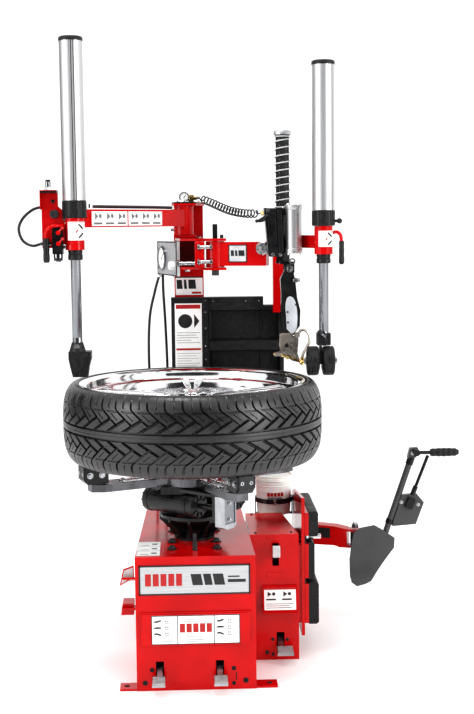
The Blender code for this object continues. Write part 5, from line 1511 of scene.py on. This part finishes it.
def press_rollers():
    """Two grooved rollers, one on each side of the fork."""
    near, far = 0.0044, 0.0425
    profile = [(0.0056, near), (0.03, near), (0.034, near + 0.003), (0.0425, near + 0.003),
               (0.046, near + 0.007), (0.046, 0.013), (0.0452, 0.0142), (0.0452, 0.0155), (0.046, 0.0167),
               (0.046, 0.029), (0.0452, 0.0302), (0.0452, 0.0315), (0.046, 0.0327), (0.046, far - 0.005),
               (0.042, far - 0.0008), (0.034, far - 0.0008), (0.032, far - 0.005), (0.015, far - 0.005),
               (0.013, far), (0.0056, far)]
    for side, across, up in (("left", Y, (0, 0, -1)), ("right", Z, (0, -1, 0))):
        wheel = Piece(f"roller_{side}_tyre", f"press_roller_{side}", "rubber")
        wheel.lathe(profile, axes(ROLLER, across, up), steps=64, closed=True)
        wheel.done(smooth=30, replaces=[f"roller_{side}"])


# ---- bead breaker -------------------------------------------------------------------
def pads():
    """Three rubber pads on red backing blocks, and the chrome pin between them."""
    dress("pad_plate", "red", 0.0015)
    strip = Piece("pad_strip", "base", "rubber")
    strip.box((0.3452, 0.35), (0.058, 0.342), (0.098, 0.44))
    strip.done(bevel=0.0015, replaces=["bead_pads"])
    backing = Piece("pad_backing", "base", "red")
    blocks = ((0.3765, 0.457, 0.3885), (0.24, 0.358, 0.377), (0.095, 0.229, 0.39))
    upright = Matrix.Rotation(pi / 2, 4, "X") @ Matrix.Scale(-1, 4, Z)
    for number, (low, high, face) in enumerate(blocks, 1):
        backing.box((0.3453, 0.358), (0.0575, 0.3425), (low + 0.0035, high - 0.0035))
        pad = Piece(f"bead_pad_{number}", "base", "rubber")
        points = [(0.357, low + 0.002), (0.357, high - 0.002), (0.36, high), (face - 0.007, high)]
        ribs = round((high - low) / 0.0165)
        step = (high - low - 0.01) / ribs
        for rib in range(ribs, 0, -1):
            top = low + 0.005 + rib * step
            points += [(face, top - 0.0012), (face, top - step + 0.0012),
                       (face - 0.0013, top - step + 0.0006), (face - 0.0013, top - step - 0.0004)]
        points = points[:-2] + [(face - 0.007, low), (0.36, low)]
        pad.prism(points, 0.06, 0.34, upright)
        pad.done(bevel=0.0008)
    backing.done(bevel=0.0012)
    pin = Piece("pad_pin", "base", "chrome")
    pin.rod((0.354, 0.1, 0.368), (0.4, 0.1, 0.368), 0.0078, sides=32)
    pin.rod((0.354, 0.1, 0.368), (0.36, 0.1, 0.368), 0.012, sides=6)
    pin.done(bevel=0.001)
    bolts = Piece("pad_plate_bolts", "base", "zinc")
    for y in (0.392, 0.408):
        for z in (0.425, 0.2):
            bolts.bolt((0.345, y + 0.004, z), X, 0.0065)
    for z, up in ((0.3602, 1), (0.2618, -1)):
        bolts.bolt((*BREAKER_HINGE.xy, z), (0, 0, up), 0.014, 0.008)
    bolts.done()


def breaker():
    dress("breaker_arm", "red", 0.0022)
    place = Matrix.Translation(BREAKER_HINGE) @ turned(BREAKER_TURN)
    side = place @ front(-0.022)
    # Painted shade: a near-black sheet on the arm's side stands in for the shade inside its opening.
    arm_opening_shade = Piece("breaker_arm_opening_shade", "breaker", "hole")
    arm_opening_shade.prism([(0.03, 0.297), (0.094, 0.297), (0.094, 0.331), (0.03, 0.333)], 0.0001, 0.0006, side)
    arm_opening_shade.done()
    dress("breaker_blade", "satin", 0.0012)
    joint = Piece("blade_hinge_pin", "breaker_shovel", "zinc")
    x, y = 0.5424, 0.3488
    joint.rod((x, y, 0.333), (x, y, 0.345), 0.013, sides=6)
    joint.rod((x, y, 0.345), (x, y, 0.35), 0.0075, sides=20)
    joint.done(bevel=0.0008)


def breaker_handle():
    """The tube"s sleeve, its end plates, the bent guard"s bolts and the wavy grip."""
    lower, upper = Vector((0.64, 0.334, 0.305)), Vector((0.732, 0.334, 0.577))
    direction = (upper - lower).normalized()
    sleeve = Piece("handle_sleeve", "breaker_shovel", "black")
    sleeve.rod(lower + direction * 0.045, lower + direction * 0.062, 0.0128, sides=32)
    sleeve.rod(upper - direction * 0.03, upper - direction * 0.004, 0.0125, sides=32)
    sleeve.done(bevel=0.0012)
    bolts = Piece("handle_bolts", "breaker_shovel", "zinc")
    for x, z in ((0.7335, 0.588), (0.744, 0.596)):
        bolts.bolt((x, 0.3229, z), (0, -1, 0), 0.0048, 0.0035)
    for x, z in ((0.7187, 0.41), (0.7528, 0.4126), (0.6957, 0.4219)):
        bolts.bolt((x, 0.3238, z), (0, -1, 0), 0.0042, 0.004)
    bolts.bolt((0.744, 0.31, 0.592), (0, -1, 0), 0.005, 0.004)
    bolts.done()
    valve = Piece("control_valve_block", "breaker_shovel", "black")
    place = at(0.7285, 0.3035, 0.43) @ Matrix.Rotation(radians(21), 4, "Y")
    valve.box((-0.013, 0.013), (0.006, 0.02), (-0.03, 0.006), place)
    valve.done(bevel=0.002)
    dress("control_grip", "rubber", 0.0)
    dress("control_rod", "black", 0.0004)
    grip = Piece("control_grip_cover", "hand_control", "rubber")
    profile, start, length = [], 0.79, 0.09
    for i in range(49):
        share = i / 48
        wave = 0.0122 + 0.0018 * sin(pi * share) + 0.0006 * cos(2 * pi * 5 * share + pi)
        if share > 0.94:
            wave *= ((1 - share) / 0.06) ** 0.5 * 0.9 + 0.1
        profile.append((wave, start + length * share))
    low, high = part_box("control_grip")
    vertices = [v.co for v in NODES["control_grip"].data.vertices]
    close, far = (sum(group, Vector()) / len(group)
                  for group in ([v for v in vertices if 0.79 < v.x < 0.815],
                                [v for v in vertices if v.x > 0.86]))
    axis = (far - close).normalized()
    turn = axis.to_track_quat("Z", "Y").to_matrix().to_4x4()
    origin = Vector((close.x, (low[1] + high[1]) / 2, close.z)) - axis * close.x
    grip.lathe(profile, Matrix.Translation(origin) @ turn, steps=36)
    grip.done(smooth=50)


# ---- bucket -------------------------------------------------------------------------
def bucket():
    place = Matrix.Translation(BUCKET)
    lid = Piece("bucket_lid", "paste_bucket", "pail")
    lid.lathe([(0.063, 0.499), (0.0655, 0.5), (0.0655, 0.509), (0.064, 0.511), (0.0655, 0.5125),
               (0.0655, 0.515), (0.063, 0.517), (0.06, 0.5165), (0.059, 0.5135), (0.03, 0.513),
               (0.029, 0.5145), (0.026, 0.5145), (0.025, 0.513), (0.006, 0.513)], place, steps=72)
    lid.done(smooth=40)
    body = Piece("bucket_body", "paste_bucket", "pail")
    rows = [(0.056, 0.385), (0.0548, 0.387), (0.0566, 0.406), (0.0578, 0.423)]
    rows += [(0.059, 0.466), (0.0596, 0.48), (0.0612, 0.481), (0.0615, 0.4835), (0.06, 0.485),
             (0.0602, 0.488), (0.0612, 0.489), (0.0615, 0.4915), (0.06, 0.493), (0.06, 0.4985)]
    body.lathe(rows, place, steps=72)
    body.done(smooth=40, replaces=["bucket"])
    band = Piece("bucket_label_blocks", "paste_bucket", "red_print")
    for step in range(5):
        bend(band, BUCKET, 0.06, (0.45, 0.4625), 250 + step * 11, 4.2, steps=4)
    band.done()
    print_lines = Piece("bucket_print", "paste_bucket", "print")
    for middle, z in ((270, 0.4468), (272, 0.4435)):
        bend(print_lines, BUCKET, 0.06, (z - 0.0016, z), middle, 24, steps=12)
    print_lines.done()
    dress("bucket_ring", "black", 0.0012)
    buckle = Piece("bucket_ring_bolts", "base", "zinc")
    for z in (0.428, 0.437):
        buckle.bolt((BUCKET.x, BUCKET.y - 0.0634, z - 0.0015), (0, -1, 0), 0.0032, 0.0025)
    buckle.done()


# ---- hoses --------------------------------------------------------------------------
def curly_hose():
    """The curly air hose: straight leads at both ends, full turns between them."""
    route = smooth_route(COIL_ROUTE, 0.003)
    total = route_length(route)
    lead, turns, big, wire = 0.026, 19, 0.0122, 0.0021
    fine = smooth_route(COIL_ROUTE, total / (turns * 30))
    step_length = total / (len(fine) - 1)
    shares = []
    for i in range(len(fine)):
        travelled = i * step_length
        share = min(1.0, travelled / lead, (total - travelled) / lead)
        shares.append(share * share * (3 - 2 * share))
    points, angle = [], 0.0
    for share, (point, normal, side) in zip(shares, frames(fine)):
        points.append(point + big * share * (cos(angle) * normal + sin(angle) * side))
        angle += 2 * pi * turns * share / sum(shares)
    coil = Piece("curly_air_hose", None, "hose")
    coil.sweep(points, wire, 10)
    item = coil.done(smooth=60)
    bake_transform(item)
    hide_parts("coil_hose")
    round(route_length(points), 4)


def plain_hoses():
    """The hose on the left arm, the loop at the hand valve and the two by the column."""
    plain = [("arm_air_hose", "left_helper", "arm_hose", ARM_HOSE_ROUTE, 0.005),
             ("valve_air_hose", "left_helper", "valve_hose", VALVE_HOSE_ROUTE, 0.0042)]
    plain += [(f"gauge_air_hose_{n}", "base", f"gauge_hose_{n}", GAUGE_HOSE_ROUTES[n - 1], 0.0045)
              for n in (1, 2)]
    for name, body, node, route, radius in plain:
        points = smooth_route(route, 0.006)
        tube = Piece(name, body, "hose")
        tube.sweep(points, radius, 14)
        item = tube.done(smooth=60, replaces=[node])
        tuple(route[0])
        round(route_length(points), 4)
        [tuple(p) for p in points]


def hose_ends():
    """Fittings of the arm hose, and grommets where two hoses enter the cabinet."""
    ends = Piece("arm_hose_fittings", "left_helper", "zinc")
    for x, y, z in (ARM_HOSE_ROUTE[0], ARM_HOSE_ROUTE[-1]):
        ends.rod((x, y, z - 0.006), (x, y, z + 0.006), 0.0066, sides=6)
    ends.done(bevel=0.0005)
    feet = Piece("gauge_hose_grommets", "base", "rubber")
    for route in GAUGE_HOSE_ROUTES:
        x, y, z = route[-1]
        feet.lathe([(0.005, 0.4003), (0.0105, 0.4003), (0.0105, 0.403), (0.0085, 0.406), (0.005, 0.4065)],
                   at(x, y), steps=28, closed=True)
    feet.done()


# ---- stage --------------------------------------------------------------------------
def soft_light(name, place, aim, size, power):
    data = bpy.data.lights.new(name, "AREA")
    data.shape = "RECTANGLE"
    data.size, data.size_y = size
    data.energy = power
    lamp = bpy.data.objects.new(name, data)
    bpy.context.scene.collection.objects.link(lamp)
    turn = (Vector(aim) - Vector(place)).to_track_quat("-Z", "Y").to_matrix().to_4x4()
    lamp.matrix_world = Matrix.Translation(place) @ turn


def studio():
    """A pale floor, a near-white world and large soft boxes on both sides."""
    bpy.ops.mesh.primitive_plane_add(size=24.0, location=(0.0, 0.0, -0.0005))
    floor = bpy.context.active_object
    floor.name = "floor"
    floor.data.materials.append(M["floor"])
    world = bpy.data.worlds.new("studio_world")
    world.use_nodes = True
    background = world.node_tree.nodes["Background"]
    background.inputs["Color"].default_value = (1.0, 1.0, 1.0, 1.0)
    background.inputs["Strength"].default_value = 1.0
    bpy.context.scene.world = world
    bpy.context.scene.view_settings.view_transform = "Standard"
    bpy.context.scene.view_settings.look = "Medium High Contrast"
    for name, place, turn, size in (("front_card", (0.0, -5.6, 1.9), (pi / 2, 0.0, 0.0), (7.0, 4.6, 1.0)),
                                    ("left_card", (-4.6, 2.6, 1.6), (pi / 2, 0.0, radians(62)),
                                     (4.0, 3.6, 1.0)), ("top_card", (0.0, 0.2, 4.9), (0.0, 0.0, 0.0),
                                                        (3.4, 3.4, 1.0))):
        bpy.ops.mesh.primitive_plane_add(size=1.0, location=place, rotation=turn)
        card = bpy.context.active_object
        card.name = name
        card.scale = size
        card.data.materials.append(M["card"])
        card.visible_camera = False
        card.visible_diffuse = False
        card.visible_shadow = False
    soft_light("left_box", (-3.4, -2.0, 2.0), (0, 0.1, 0.8), (1.2, 2.8), 60)
    soft_light("right_box", (3.4, -2.4, 1.8), (0, 0.1, 0.8), (1.0, 2.8), 80)
    soft_light("top_box", (-0.4, -0.9, 4.4), (0, 0.1, 0.8), (1.6, 0.9), 60)


camera()
curly_hose()
plain_hoses()
hose_ends()
tyre()
rim()
rim_details()
turntable()
clamp_cylinders()
jaws()
gearbox()
main_cabinet()
side_cabinet()
pedals()
column()
tool_board()
bracket()
helper_post()
gauge_housing()
left_tower()
left_fittings()
hand_valve()
valve_parts()
mounting_tool()
mounting_head()
head_parts()
right_tower()
right_handle()
right_fork()
press_rollers()
pads()
breaker()
breaker_handle()
bucket()
studio()
